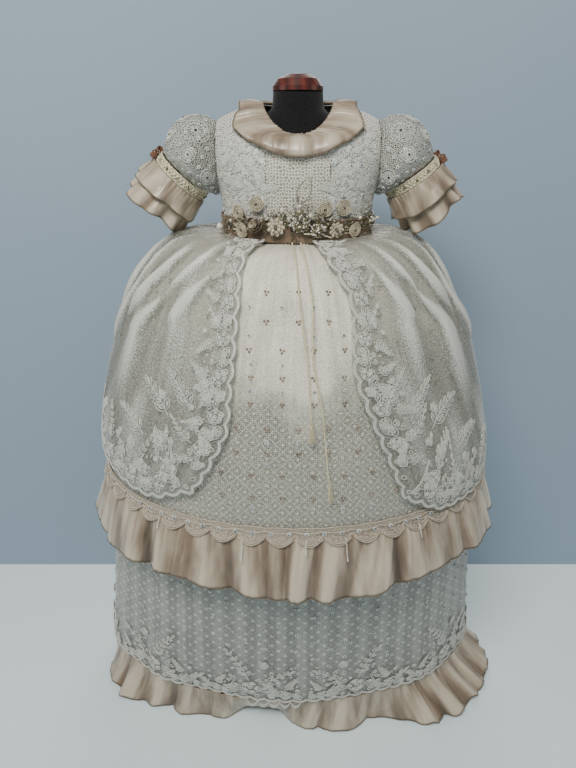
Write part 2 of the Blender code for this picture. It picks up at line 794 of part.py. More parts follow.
def overskirt(side):
    """One sheer panel, open at the front, and the lace laid along its edges."""
    columns = len(OVERSKIRT_COLUMNS) - 1
    rows = len(OVERSKIRT_ROWS) - 1

    def on_edging(r, c):
        from_front = c if side == "right" else columns - 1 - c
        return from_front < EDGING_COLUMNS or r >= rows - EDGING_ROWS

    shell(f"overskirt_{side}", overskirt_grid(side, 0), False, LACE, tulle())
    shell(f"overskirt_edging_{side}", overskirt_grid(side, SEAM + LACE), False, LACE,
          white_lace(), on_edging)


def hem_point(hem, angle):
    """A point of a skirt's hem, and the level way out of it."""
    point = oval(hem, angle)
    return point, Vector((point.x / hem.left, point.y / hem.front, 0)).normalized()


def upper_ruffle():
    """The gathered satin ruffle under the upper skirt, flaring to its hem."""
    first, gain = UPPER_RUFFLE_PLEAT
    grid = []
    for share in UPPER_RUFFLE_SHARES:
        ring = []
        for a in turn(3 * UPPER_RUFFLE_PLEATS):
            point, outward = hem_point(UPPER_SKIRT[-1], a)
            pleat = uneven(a, UPPER_RUFFLE_PLEATS, 0.9) * (first + gain * share)
            wave = UPPER_RUFFLE_DIP * share * math.sin(5 * a + 1.0)
            drop = SEAM + (TIER_Z - SEAM - UPPER_RUFFLE_Z) * share + wave
            out = UPPER_RUFFLE_FLARE * share ** 0.8 + pleat
            ring.append(point + outward * out - Vector((0, 0, drop)))
        grid.append(ring)
    shell("upper_ruffle", grid, True, SATIN, champagne_satin())


def lower_ruffle():
    """The satin ruffle under the lower skirt, which spreads where it meets the ground."""
    first, gain = LOWER_RUFFLE_PLEAT
    grid = []
    for share in LOWER_RUFFLE_SHARES:
        ring = []
        height = LOWER_RUFFLE_TOP_Z + (LOWER_RUFFLE_GROUND - LOWER_RUFFLE_TOP_Z) * share ** 0.75
        for a in turn(3 * LOWER_RUFFLE_PLEATS):
            point, outward = hem_point(LOWER_SKIRT[-1], a)
            reach = smooth_between(LOWER_REACH, "angle", math.degrees(a)).out
            pleat = uneven(a, LOWER_RUFFLE_PLEATS, 2.6) * (first + gain * share)
            crown = LOWER_RUFFLE_CROWN * reach * share * (1 - share)
            point.z = height + crown
            ring.append(point + outward * (reach * share ** 1.3 + pleat))
        grid.append(ring)
    shell("lower_ruffle", grid, True, SATIN, champagne_satin())


# ---------------------------------------------------------------------- belt

def belt_band():
    """The band round the waist that carries the ornaments."""
    top = place_of(BODICE, WAIST_Z + BELT_LIFT + BELT_HEIGHT)
    bottom = place_of(BODICE, WAIST_Z + BELT_LIFT)
    grid = [
        [lifted(bodice_up, a, -place, BELT_OFF + SATIN) for a in turn(BELT_STEPS)]
        for place in (top, bottom)
    ]
    shell("belt_band", grid, True, SATIN, brown_satin())


def ornament_profile(item):
    """The (radius, height) outline of an ornament, from its top to its flat back."""
    r, h = item.radius, item.thick
    if item.kind == "rosette":
        rings = [(r * s, h * (1.0 if i % 2 else 0.7)) for i, s in
                 enumerate((0.20, 0.36, 0.52, 0.68, 0.84))]
        return [(0, h * 1.25), (r * 0.12, h * 1.2), *rings, (r, h * 0.6), (r, 0), (0, 0)]
    if item.kind == "pearl":
        return [(0, h)] + [
            (r * math.sin(t), h / 2 * (1 + math.cos(t))) for t in spread(0, math.pi, 6)[1:-1]
        ] + [(0, 0)]
    if item.kind == "rose":
        return [(0, h * 0.8), (r * 0.3, h), (r * 0.5, h * 0.82), (r * 0.75, h * 0.85),
                (r, h * 0.4), (r * 0.8, 0), (0, 0)]
    if item.kind == "flower":
        return [(0, h), (r * 0.25, h * 0.9), (r * 0.4, h * 0.5), (r * 0.8, h * 0.6),
                (r, h * 0.35), (r * 0.7, 0), (0, 0)]
    return [(0, h), (r * 0.5, h * 0.9), (r * 0.85, h * 0.6), (r, h * 0.2), (r * 0.9, 0), (0, 0)]


def ornament(item):
    """One ornament, its flat back towards the bodice and its face outwards."""
    finish = {"rosette": cream_braid, "rose": brown_satin, "flower": ivory_lace,
              "spray": pearl, "pearl": pearl}[item.kind]
    place = place_of(BODICE, item.z)
    side = row_at(BODICE, place).side
    angle = math.asin(item.x / side)
    seat = lifted(bodice_up, angle, -place, BELT_OFF + SATIN + item.off)
    normal = lifted(bodice_up, angle, -place, 1.0) - bodice_up(angle, -place)
    obj = lathe(f"belt_{item.name}", ornament_profile(item), finish(), ORNAMENT_STEPS)
    obj.location = seat
    obj.rotation_mode = "QUATERNION"
    obj.rotation_quaternion = normal.to_track_quat("Z", "Y")
    return obj


def smooth_route(points, steps):
    """Points at even steps along a smooth curve through a route's own points."""
    dense = []
    for i in range(len(points) - 1):
        a = points[max(i - 1, 0)]
        b, c = points[i], points[i + 1]
        d = points[min(i + 2, len(points) - 1)]
        for t in spread(0, 1, 20)[:-1]:
            dense.append(0.5 * (
                2 * b + (c - a) * t + (2 * a - 5 * b + 4 * c - d) * t ** 2
                + (3 * b - a - 3 * c + d) * t ** 3
            ))
    dense.append(points[-1])
    lengths = [0.0]
    for p, q in zip(dense, dense[1:]):
        lengths.append(lengths[-1] + (q - p).length)
    even, j = [], 0
    for i in range(steps + 1):
        goal = lengths[-1] * i / steps
        while j < len(dense) - 2 and lengths[j + 1] < goal:
            j += 1
        share = (goal - lengths[j]) / (lengths[j + 1] - lengths[j])
        even.append(dense[j].lerp(dense[j + 1], share))
    return even


def cord(name, points, radius, finish):
    """A round cord along the points, with filled ends."""
    curve = bpy.data.curves.new(name, "CURVE")
    curve.dimensions = "3D"
    curve.bevel_depth = radius
    curve.bevel_resolution = 2
    curve.use_fill_caps = True
    spline = curve.splines.new("POLY")
    spline.points.add(len(points) - 1)
    for target, p in zip(spline.points, points):
        target.co = (*p, 1)
    return put(bpy.data.objects.new(name, curve), finish)


def hanging_cord(length_name, route):
    """A thin cord from the belt down the skirt, and the tassel at its end."""
    places = [(math.radians(p.angle), place_of(UPPER_SKIRT, p.z)) for p in route]
    points = [lifted(upper_surface, a, place, CORD_OFF) for a, place in places]
    even = smooth_route(points, CORD_STEPS[length_name])
    cord(f"belt_cord_{length_name}", even, CORD_RADIUS, cream_braid())
    down = (even[-1] - even[-2]).normalized()
    out = lifted(upper_surface, *places[-1], 1.0) - upper_surface(*places[-1])
    start = even[-1] + down * SEAM + out * (TASSEL_RADIUS - CORD_RADIUS)
    across = down.cross(out).normalized()
    rings = []
    for along, wide in TASSEL_OUTLINE:
        centre = start + down * TASSEL_LENGTH * along
        rings.append([
            centre + TASSEL_RADIUS * wide * (
                across * math.cos(a) + down.cross(across) * math.sin(a))
            for a in turn(10)
        ])
    loft_solid(f"belt_tassel_{length_name}", rings, cream_braid())


def loop_cord():
    """The end of a thin cord that slips out of the belt and turns back into it."""
    points = [
        lifted(upper_surface, math.radians(p.angle), place_of(UPPER_SKIRT, p.z), LOOP_OFF)
        for p in LOOP_CORD
    ]
    cord("belt_loop_cord", smooth_route(points, LOOP_STEPS), LOOP_RADIUS, white_lace())


def belt():
    belt_band()
    for item in ORNAMENTS:
        ornament(item)
    hanging_cord("long", CORD_LONG)
    hanging_cord("short", CORD_SHORT)
    loop_cord()


# ---------------------------------------------------------------- dress form

def form_torso():
    """A torso with rounded shoulder ends and a neck, in one piece."""
    rings = []
    for row in reversed(FORM):
        both = SkirtRow(row.z, row.side, row.side, row.front, row.back)
        rings.append([oval(both, a) for a in turn(FORM_STEPS)])
    torso = loft_solid("form_torso", rings, form_jersey())
    bpy.ops.mesh.primitive_uv_sphere_add(segments=18, ring_count=10, radius=1)
    stubs = bpy.context.active_object
    stubs.name = "form_shoulder_cutter"
    stubs.scale = (STUB_REACH, STUB_DEEP, STUB_TALL)
    stubs.location = (0, 0, STUB_Z)
    hide(stubs)
    join = torso.modifiers.new("Shoulders", "BOOLEAN")
    join.operation = "UNION"
    join.object = stubs


def form_stand():
    """The neck cap, the pole and the base, all turned."""
    cap = lathe("form_neck_cap", [
        (0, CAP_HEIGHT), (CAP_RADIUS * 0.45, CAP_HEIGHT * 0.93),
        (CAP_RADIUS * 0.8, CAP_HEIGHT * 0.68), (CAP_RADIUS, CAP_HEIGHT * 0.25),
        (CAP_RADIUS, 0), (0, 0),
    ], cherry_wood())
    cap.location.z = CAP_Z
    foot = BASE_THICK + FORM_GAP
    top = FORM[0].z - FORM_GAP
    bpy.ops.mesh.primitive_cylinder_add(vertices=20, radius=POLE_RADIUS, depth=top - foot)
    pole = bpy.context.active_object
    pole.name = "form_pole"
    pole.location.z = (top + foot) / 2
    for users in pole.users_collection:
        users.objects.unlink(pole)
    put(pole, black_enamel())
    lathe("form_base", [
        (0, BASE_THICK), (BASE_RADIUS * 0.3, BASE_THICK),
        (BASE_RADIUS * 0.94, BASE_THICK * 0.6), (BASE_RADIUS, BASE_THICK * 0.35),
        (BASE_RADIUS, 0), (0, 0),
    ], black_enamel(), 32)


# --------------------------------------------------------------------- build

for old in list(bpy.data.objects):
    bpy.data.objects.remove(old)
GOWN = bpy.data.collections.new("christening_gown")
CUTTERS = bpy.data.collections.new("cutters")
bpy.context.scene.collection.children.link(GOWN)
bpy.context.scene.collection.children.link(CUTTERS)

bodice()
neck_ruffle()
for arm in ("left", "right"):
    sleeve(arm)
    cuff_band(arm)
    for cuff_layer in CUFF_LAYERS:
        cuff_ruffle(arm, cuff_layer)
    sleeve_bow(arm)
skirts()
for arm in ("left", "right"):
    overskirt(arm)
upper_ruffle()
lower_ruffle()
belt()
form_torso()
form_stand()
for piece in GOWN.objects:
    if piece.type == "MESH" and not piece.name.startswith("form_base"):
        piece.data.shade_smooth()
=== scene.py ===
"""The looks of a baby's christening gown on a limbless dress form.

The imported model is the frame. Each section makes one piece of the gown, or one
group of like pieces, in the order in which they are put together.
Metres, +Z up, the front of the gown faces -Y.
"""

import math

import bmesh
import bpy
import numpy as np
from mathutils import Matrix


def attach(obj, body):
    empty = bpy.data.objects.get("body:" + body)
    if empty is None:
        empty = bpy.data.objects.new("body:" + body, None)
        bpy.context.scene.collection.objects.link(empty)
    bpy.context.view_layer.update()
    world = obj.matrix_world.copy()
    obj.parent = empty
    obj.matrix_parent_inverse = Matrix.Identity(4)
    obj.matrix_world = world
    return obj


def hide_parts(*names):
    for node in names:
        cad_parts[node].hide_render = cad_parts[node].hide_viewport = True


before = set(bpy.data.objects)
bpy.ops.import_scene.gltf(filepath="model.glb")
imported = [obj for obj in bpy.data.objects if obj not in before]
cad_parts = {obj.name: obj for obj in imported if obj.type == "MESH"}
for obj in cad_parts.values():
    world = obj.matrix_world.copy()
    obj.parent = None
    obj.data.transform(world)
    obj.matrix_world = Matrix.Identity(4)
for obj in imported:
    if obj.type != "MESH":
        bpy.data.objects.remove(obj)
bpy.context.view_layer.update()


# ------------------------------------------------------ camera and studio
# A phone held a little above the gown's neck and tilted down to it, in a white
# room: one large soft light above the lens, weak ones at the sides and behind,
# a pale table, and a pale blue-grey wall that only the front views see.

def linear(colour):
    """A six-digit sRGB hex colour as linear RGBA."""
    parts = [int(colour[i:i + 2], 16) / 255 for i in (0, 2, 4)]
    return *(c / 12.92 if c <= 0.04045 else ((c + 0.055) / 1.055) ** 2.4 for c in parts), 1.0


def plug(tree, target, links):
    """Sets a node's inputs, by name or number, each from a value, a socket or a node."""
    for key, value in links.items():
        if isinstance(value, bpy.types.Node):
            value = value.outputs[0]
        if isinstance(value, bpy.types.NodeSocket):
            tree.links.new(value, target.inputs[key])
        else:
            target.inputs[key].default_value = value
    return target


def node(tree, kind, links=(), stops=(), **settings):
    """Adds a node with its settings, its colour ramp's stops and its links."""
    made = tree.nodes.new(kind)
    for key, value in settings.items():
        setattr(made, key, value)
    for i, (place, colour) in enumerate(stops):
        if i >= len(made.color_ramp.elements):
            made.color_ramp.elements.new(1.0)
        made.color_ramp.elements[i].position = place
        made.color_ramp.elements[i].color = colour
    return plug(tree, made, dict(links))


def new_material(name):
    made = bpy.data.materials.new(name)
    made.use_nodes = True
    return made, made.node_tree, made.node_tree.nodes["Principled BSDF"]


camera = bpy.data.objects.new("camera", bpy.data.cameras.new("camera"))
camera.location = (-0.0115, -0.74, 0.833)
camera.rotation_euler = (math.radians(65.5), 0, 0)
camera.data.lens = 27.05
camera.data.clip_start = 0.01
bpy.context.scene.collection.objects.link(camera)
bpy.context.scene.camera = camera

# Each light: where it stands, what it points at, its width and height, its watts.
STUDIO = {
    "window": ((-0.30, -1.05, 1.85), (0, 0, 0.50), 0.90, 0.50, 29.0),
    "left_fill": ((-1.70, -0.40, 0.90), (0, 0, 0.40), 0.70, 1.30, 3.6),
    "right_fill": ((1.70, -0.50, 0.90), (0, 0, 0.40), 0.70, 1.30, 3.0),
    "back_fill": ((0.20, 1.70, 1.40), (0, 0, 0.45), 1.60, 1.00, 14.0),
}
for light_name, (stand, target, width, height, watts) in STUDIO.items():
    lamp = bpy.data.lights.new(light_name, "AREA")
    lamp.shape = "RECTANGLE"
    lamp.size, lamp.size_y, lamp.energy = width, height, watts
    lamp.color = linear("FFFCF4")[:3]
    light = bpy.data.objects.new(light_name, lamp)
    aim = np.subtract(target, stand)
    light.location = stand
    light.rotation_euler = (math.acos(-aim[2] / np.linalg.norm(aim)), 0,
                            math.atan2(-aim[0], aim[1]))
    bpy.context.scene.collection.objects.link(light)

world = bpy.data.worlds.new("pale_room")
world.use_nodes = True
plug(world.node_tree, world.node_tree.nodes["Background"],
     {"Color": linear("B9C0C6"), "Strength": 0.38})
bpy.context.scene.world = world


def backdrop(name, corners, colour):
    """A flat sheet of the studio in matt paint, clear when it is seen from behind."""
    paint, tree, shader = new_material(name)
    plug(tree, shader, {"Base Color": linear(colour), "Roughness": 0.9})
    behind = node(tree, "ShaderNodeNewGeometry").outputs["Backfacing"]
    clear = node(tree, "ShaderNodeBsdfTransparent")
    mixed = node(tree, "ShaderNodeMixShader", {0: behind, 1: shader, 2: clear})
    plug(tree, tree.nodes["Material Output"], {"Surface": mixed})
    mesh = bpy.data.meshes.new(name)
    mesh.from_pydata(corners, [], [(0, 1, 2, 3)])
    mesh.materials.append(paint)
    board = bpy.data.objects.new(name, mesh)
    bpy.context.scene.collection.objects.link(board)
    return board


REACH = 4.0  # how far the table and the wall run from the gown
WALL_Y = 0.19
backdrop("table", [(-REACH, -REACH, 0), (REACH, -REACH, 0), (REACH, REACH, 0),
                   (-REACH, REACH, 0)], "E9FAFF")
wall = backdrop("wall", [(-REACH, WALL_Y, 0), (REACH, WALL_Y, 0), (REACH, WALL_Y, REACH),
                         (-REACH, WALL_Y, REACH)], "96A8BA")
wall.visible_shadow = wall.visible_diffuse = wall.visible_glossy = False
wall.visible_transmission = False


# ------------------------------------------------------------ dress form
# A small shop form without arms or head: foam covered in black cotton jersey,
# a turned and varnished cherry cap on its neck, and a steel pole and weighted
# base in black enamel, which the skirts hide.

def black_cotton_jersey():
    """Matt knit: rows of fine loops, which scatter light and show no gloss."""
    made, tree, shader = new_material("black_cotton_jersey")
    loop_mm = 1.2
    place = node(tree, "ShaderNodeTexCoord").outputs["Object"]
    loops = node(tree, "ShaderNodeTexVoronoi", {"Vector": place, "Scale": 1000 / loop_mm})
    tone = node(tree, "ShaderNodeValToRGB", {0: loops.outputs["Distance"]},
                stops=((0.1, linear("222226")), (0.7, linear("0C0C0E"))))
    relief = node(tree, "ShaderNodeBump", {"Height": loops.outputs["Distance"],
                                           "Strength": 0.4, "Distance": 0.0005})
    plug(tree, shader, {"Base Color": tone, "Normal": relief, "Roughness": 0.92,
                        "Sheen Weight": 0.15, "Specular IOR Level": 0.2})
    return made


def varnished_cherry():
    """Red-brown hardwood with fine rings, under a clear coat that gives it its gloss."""
    made, tree, shader = new_material("varnished_cherry")
    ring_mm = 4
    place = node(tree, "ShaderNodeTexCoord").outputs["Object"]
    grain = node(tree, "ShaderNodeTexWave",
                 {"Vector": place, "Scale": 1000 / ring_mm / 10, "Distortion": 3.0,
                  "Detail": 3.0, "Detail Scale": 2.0, "Detail Roughness": 0.4})
    tone = node(tree, "ShaderNodeValToRGB", {0: grain.outputs["Fac"]},
                stops=((0.0, linear("3A1410")), (1.0, linear("5E2418"))))
    plug(tree, shader, {"Base Color": tone, "Roughness": 0.42, "Coat Weight": 0.25,
                        "Coat Roughness": 0.25})
    return made


def black_enamel():
    """Sprayed stoving enamel: glossy, with the faint ripple of thick paint."""
    made, tree, shader = new_material("black_enamel")
    ripple_mm = 3
    place = node(tree, "ShaderNodeTexCoord").outputs["Object"]
    ripple = node(tree, "ShaderNodeTexNoise", {"Vector": place, "Scale": 1000 / ripple_mm})
    relief = node(tree, "ShaderNodeBump", {"Height": ripple, "Strength": 0.06,
                                           "Distance": 0.001})
    tone = node(tree, "ShaderNodeValToRGB", {0: ripple},
                stops=((0.3, linear("121214")), (0.7, linear("1B1B1E"))))
    plug(tree, shader, {"Base Color": tone, "Normal": relief, "Roughness": 0.24})
    return made


def row_at(table, place):
    """A table's row at a place counted in rows, on a monotone cubic through its rows."""
    table, place = np.asarray(table, float), np.asarray(place, float)
    i = np.clip(place.astype(int), 0, len(table) - 2)
    t = (place - i)[..., None]
    before, first, last, after = (table[np.clip(i + k, 0, len(table) - 1)]
                                  for k in (-1, 0, 1, 2))
    rise = last - first

    def slope(other):
        same_way = rise * other > 0
        return np.where(same_way, 2 * rise * other / np.where(same_way, rise + other, 1), 0)

    start = np.where((i == 0)[..., None], rise, slope(first - before))
    end = np.where((i == len(table) - 2)[..., None], rise, slope(after - last))
    return (first * (1 + 2 * t) * (1 - t) ** 2 + start * t * (1 - t) ** 2
            + last * t * t * (3 - 2 * t) - end * t * t * (1 - t))


def oval(angle, left, right, front, back, z):
    """Points of an oval: angle 0 is the front, and it grows towards +X."""
    side = np.where(np.sin(angle) > 0, right, left)
    depth = np.where(np.cos(angle) > 0, front, back)
    return np.stack(np.broadcast_arrays(side * np.sin(angle), -depth * np.cos(angle), z), -1)


def turn(count):
    """Angles once round, from the back, without the last, which is the first again."""
    return np.linspace(-math.pi, math.pi, count, endpoint=False)


def sheet(name, grid, finish, closed=False, gathered=False, keep=None):
    """Cloth through a grid of points, rows top to bottom, columns to the right from outside.

    Its UV map is the flat cloth in metres. Gathered cloth is as wide at its top
    as at its hem. keep(points) says which of its cells it has.
    """
    rows, columns = grid.shape[:2]
    ring = np.concatenate([grid, grid[:, :1]], 1) if closed else grid
    across = np.linalg.norm(np.diff(ring, axis=1), axis=-1)
    if gathered:
        across[:] = across[-1]
    down = np.linalg.norm(np.diff(ring, axis=0), axis=-1).mean(1)
    u = np.pad(np.cumsum(across, 1), ((0, 0), (1, 0)))
    v = np.pad(np.cumsum(down), (1, 0))
    flat = np.stack([u - u[:, [-1]] / 2, np.broadcast_to(-v[:, None], u.shape)], -1)
    r, c = np.meshgrid(np.arange(rows - 1), np.arange(ring.shape[1] - 1), indexing="ij")
    r, c = r.ravel(), c.ravel()
    if keep is not None:
        kept = keep((ring[r, c] + ring[r + 1, c + 1]) / 2)
        r, c = r[kept], c[kept]
    r, c = np.stack([r, r + 1, r + 1, r], -1), np.stack([c, c, c + 1, c + 1], -1)
    mesh = bpy.data.meshes.new(name)
    mesh.from_pydata(grid.reshape(-1, 3).tolist(), [], (r * columns + c % columns).tolist())
    layer = mesh.uv_layers.new(name="cloth")
    layer.data.foreach_set("uv", flat[r, c].astype(np.float32).ravel())
    mesh.shade_smooth()
    mesh.materials.append(finish)
    if keep is not None:
        bm = bmesh.new()
        bm.from_mesh(mesh)
        bmesh.ops.delete(bm, geom=[p for p in bm.verts if not p.link_faces], context="VERTS")
        bm.to_mesh(mesh)
        bm.free()
    made = bpy.data.objects.new(name, mesh)
    bpy.context.scene.collection.objects.link(made)
    return made


def close_ends(piece):
    """Fills the open rings of a tube, so that it is a solid."""
    bm = bmesh.new()
    bm.from_mesh(piece.data)
    bmesh.ops.holes_fill(bm, edges=[e for e in bm.edges if e.is_boundary], sides=0)
    bmesh.ops.recalc_face_normals(bm, faces=bm.faces)
    bm.to_mesh(piece.data)
    bm.free()
    return piece


def settle(piece, slot_name, *nodes):
    """A finished piece rides on the gown's one body and stands for its CAD nodes."""
    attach(piece, "root")
    if nodes:
        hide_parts(*nodes)
    return piece


def refinish(node_name, finish):
    """Gives a CAD node that stays its real finish."""
    cad = bpy.data.objects[node_name]
    for slot in cad.material_slots:
        slot.material = finish
    if not cad.material_slots:
        cad.data.materials.append(finish)


# z, half width, front depth and back depth, from the neck down
FORM = ((0.8640, 0.0285, 0.0270, 0.0270), (0.8480, 0.0300, 0.0270, 0.0280),
        (0.8390, 0.0400, 0.0280, 0.0330), (0.8300, 0.0590, 0.0300, 0.0420),
        (0.8200, 0.0740, 0.0335, 0.0480), (0.8090, 0.0840, 0.0400, 0.0510),
        (0.7980, 0.0880, 0.0520, 0.0530), (0.7600, 0.0850, 0.0600, 0.0540),
        (0.7080, 0.0800, 0.0570, 0.0520), (0.6600, 0.0800, 0.0580, 0.0520),
        (0.6180, 0.0740, 0.0530, 0.0480), (0.6050, 0.0640, 0.0440, 0.0420))
SHOULDER_BALL = (0.1310, 0.0340, 0.0390)  # half sizes of the ball through the torso
SHOULDER_Z = 0.7970
jersey = black_cotton_jersey()
z, half_width, front, back = np.moveaxis(row_at(FORM, np.linspace(0, len(FORM) - 1, 48)), -1, 0)
rings = oval(turn(72), *(size[:, None] for size in (half_width, half_width, front, back, z)))
torso = close_ends(sheet("torso_cover", rings, jersey, closed=True))
settle(torso, "form_jersey", "form_torso")
latitude = np.linspace(0.02, math.pi - 0.02, 32)[:, None]
ball = np.stack(np.broadcast_arrays(np.sin(latitude) * np.sin(turn(40)),
                                    -np.sin(latitude) * np.cos(turn(40)),
                                    np.cos(latitude)), -1)
shoulders = close_ends(sheet("shoulder_cover", ball * SHOULDER_BALL + (0, 0, SHOULDER_Z),
                             jersey, closed=True))
settle(shoulders, "form_jersey", "form_torso")
refinish("form_neck_cap", varnished_cherry())
enamel = black_enamel()
refinish("form_pole", enamel)
refinish("form_base", enamel)


# ---------------------------------------------------------------- bodice
# Five panels of ivory net on a satin ground, cut to shape and seamed: a smooth
# centre front, and side fronts and backs covered in corded rose lace, which is
# machine embroidery in thick cotton with roses, leaves and coils.

def ivory_net_on_satin(name, ground, thread, dot, cell_mm=5.0, twist=0.0, gloss=0.42):
    """Net of fine cotton threads over satin: the threads are matt and stand up, the
    satin shines softly between them, and a tinsel dot sits in some of the meshes."""
    made, tree, shader = new_material(name)
    uv = node(tree, "ShaderNodeUVMap", uv_map="cloth")
    turned = node(tree, "ShaderNodeMapping", {"Vector": uv, "Rotation": (0, 0, twist)})
    mesh_scale = 1000 / cell_mm
    walls = node(tree, "ShaderNodeTexVoronoi",
                 {"Vector": turned, "Scale": mesh_scale, "Randomness": 0.75},
                 voronoi_dimensions="2D", feature="DISTANCE_TO_EDGE")
    cells = node(tree, "ShaderNodeTexVoronoi",
                 {"Vector": turned, "Scale": mesh_scale / 2, "Randomness": 0.6},
                 voronoi_dimensions="2D")
    blotch = node(tree, "ShaderNodeTexNoise", {"Vector": uv, "Scale": 28.0, "Detail": 3.0})
    threads = node(tree, "ShaderNodeMapRange",
                   {0: walls.outputs["Distance"], 1: 0.05, 2: 0.26, 3: 1.0, 4: 0.0})
    dots = node(tree, "ShaderNodeMapRange",
                {0: cells.outputs["Distance"], 1: 0.06, 2: 0.13, 3: 0.7, 4: 0.0})
    satin = node(tree, "ShaderNodeValToRGB", {0: blotch},
                 stops=((0.35, linear(ground[0])), (0.65, linear(ground[1]))))
    netted = node(tree, "ShaderNodeMix", {0: threads, 6: satin, 7: linear(thread)},
                  data_type="RGBA").outputs[2]
    dotted = node(tree, "ShaderNodeMix", {0: dots, 6: netted, 7: linear(dot)},
                  data_type="RGBA").outputs[2]
    raised = node(tree, "ShaderNodeMath", {0: threads, 1: dots}, operation="MAXIMUM")
    relief = node(tree, "ShaderNodeBump", {"Height": raised, "Strength": 0.8,
                                           "Distance": 0.0006})
    rough = node(tree, "ShaderNodeMapRange", {0: threads, 3: gloss, 4: 0.8})
    plug(tree, shader, {"Base Color": dotted, "Normal": relief, "Roughness": rough,
                        "Sheen Weight": 0.25, "Sheen Roughness": 0.4})
    return made


def white_embroidery(name, light, shade, stitch_mm=0.8):
    """Thick mercerised cotton: silky white satin stitches, with the low parts between them painted
    greyer as shade, since one noise both raises and colours them.
    """
    made, tree, shader = new_material(name)
    place = node(tree, "ShaderNodeTexCoord").outputs["Object"]
    stitches = node(tree, "ShaderNodeTexNoise",
                    {"Vector": place, "Scale": 1000 / stitch_mm, "Detail": 2.0})
    # painted shade: where the stitch noise is low and the relief sinks, the colour turns to the shade
    # colour
    tone = node(tree, "ShaderNodeValToRGB", {0: stitches},
                stops=((0.35, linear(shade)), (0.62, linear(light))))
    relief = node(tree, "ShaderNodeBump", {"Height": stitches, "Strength": 0.5,
                                           "Distance": 0.0003})
    plug(tree, shader, {"Base Color": tone, "Normal": relief, "Roughness": 0.55,
                        "Sheen Weight": 0.4, "Sheen Roughness": 0.35})
    return made


def thicken(piece, wall_thickness):
    """Gives a sheet its wall, inwards from the sheet."""
    wall = piece.modifiers.new("Wall", "SOLIDIFY")
    wall.thickness = wall_thickness
    wall.offset = -1
    return piece


# z, half width, front depth, back depth and the front's dip, from waist to neck
BODICE = ((0.7044, 0.0900, 0.0660, 0.0600, 0.0000), (0.7350, 0.0915, 0.0680, 0.0610, 0.0000),
          (0.7520, 0.0938, 0.0690, 0.0620, 0.0000), (0.7750, 0.1010, 0.0690, 0.0620, 0.0020),
          (0.8000, 0.1070, 0.0660, 0.0610, 0.0040), (0.8200, 0.1060, 0.0600, 0.0580, 0.0100),
          (0.8340, 0.0940, 0.0540, 0.0520, 0.0205), (0.8435, 0.0740, 0.0480, 0.0470, 0.0285),
          (0.8490, 0.0560, 0.0450, 0.0420, 0.0335), (0.8500, 0.0405, 0.0425, 0.0370, 0.0340))
NECK = 1 - len(BODICE)  # places on the bodice count down from this to 0 at the waist
SEAM = 0.0004
CENTRE_INSET = 0.036  # half the width of the centre front
MOST_CENTRE_SHARE = 0.92  # of the half width, where the neck narrows it
ARMHOLE_X = 0.0945
LACE_WALL = 0.0010


def bodice_surface(angle, place):
    level, side, front, back, dip = np.moveaxis(row_at(BODICE, -np.asarray(place)), -1, 0)
    level = level - dip * np.maximum(0, np.cos(angle)) ** 1.5
    return oval(angle, side, side, front, back, level)


def normal_at(surface, u, v):
    """The way out of a surface, whose v runs down it and whose u runs to the right."""
    step = 1e-3
    across = surface(u + step, v) - surface(u - step, v)
    along = surface(u, v + step) - surface(u, v - step)
    normal = np.cross(along, across)
    return normal / np.linalg.norm(normal, axis=-1, keepdims=True)


def lifted(surface, u, v, off):
    """Points of a surface moved out of it."""
    return surface(u, v) + normal_at(surface, u, v) * np.asarray(off)[..., None]


def bodice_span(place, first, last, columns):
    """Angles across a panel between two seams, each at a share of the quarter's width."""
    side = row_at(BODICE, -place)[..., 1]
    centre = np.arcsin(np.minimum(MOST_CENTRE_SHARE, CENTRE_INSET / side))
    seams = {"left_centre": -centre, "centre": centre, "side": math.pi / 2 + 0 * centre,
             "back": math.pi + 0 * centre}
    gap = SEAM / 2 / 0.06
    low, high = seams[first] + gap, seams[last] - gap
    return low[:, None] + (high - low)[:, None] * np.linspace(0, 1, columns)


PANELS = (
    ("bodice_centre_front", "left_centre", "centre", 40, 1, (0.070, 0.118)),
    ("bodice_side_front_left", "centre", "side", 44, -1, (0.088, 0.150)),
    ("bodice_side_front_right", "centre", "side", 44, 1, (0.088, 0.150)),
    ("bodice_back_left", "side", "back", 60, -1, (0.125, 0.148)),
    ("bodice_back_right", "side", "back", 60, 1, (0.125, 0.148)),
)
centre_net = ivory_net_on_satin("ivory_tulle_on_satin", ("8B8676", "ABA697"), "E9E7DC",
                                "B08F80", cell_mm=3.5, gloss=0.5)
side_net = ivory_net_on_satin("ivory_ground_of_rose_lace", ("817E70", "A5A295"), "EFEFE8",
                              "DADAD2", cell_mm=3.0)
levels = np.linspace(NECK, 0, 56)
for panel_name, first_seam, last_seam, columns, hand, flat_size in PANELS:
    angles = bodice_span(levels, first_seam, last_seam, columns)
    if hand < 0:
        angles = -angles[:, ::-1]
    panel = sheet(panel_name + "_cloth", bodice_surface(angles, levels[:, None]),
                  side_net if "side" in panel_name or "back" in panel_name else centre_net,
                  keep=lambda middles: np.abs(middles[:, 0]) < ARMHOLE_X)
    thicken(panel, LACE_WALL)
    settle(panel, "ivory_lace" if "centre" in panel_name else "guipure_lace", panel_name)


# --------------------------------------------------- rose lace on the bodice
# The corded pattern of the side fronts and backs: big roses with coiled hearts,
# smaller ones, leaves, fern sprays and curls, in cotton cord couched on the net
# and petals filled with padded satin stitch.

def node_tool(name, sockets):
    """An empty geometry node tree with its named inputs; it returns the tree and its ends."""
    tree = bpy.data.node_groups.new(name, "GeometryNodeTree")
    for socket_name, kind in (("Geometry", "NodeSocketGeometry"), *sockets):
        tree.interface.new_socket(socket_name, in_out="INPUT", socket_type=kind)
    tree.interface.new_socket("Geometry", in_out="OUTPUT", socket_type="NodeSocketGeometry")
    return tree, tree.nodes.new("NodeGroupInput").outputs, tree.nodes.new("NodeGroupOutput")


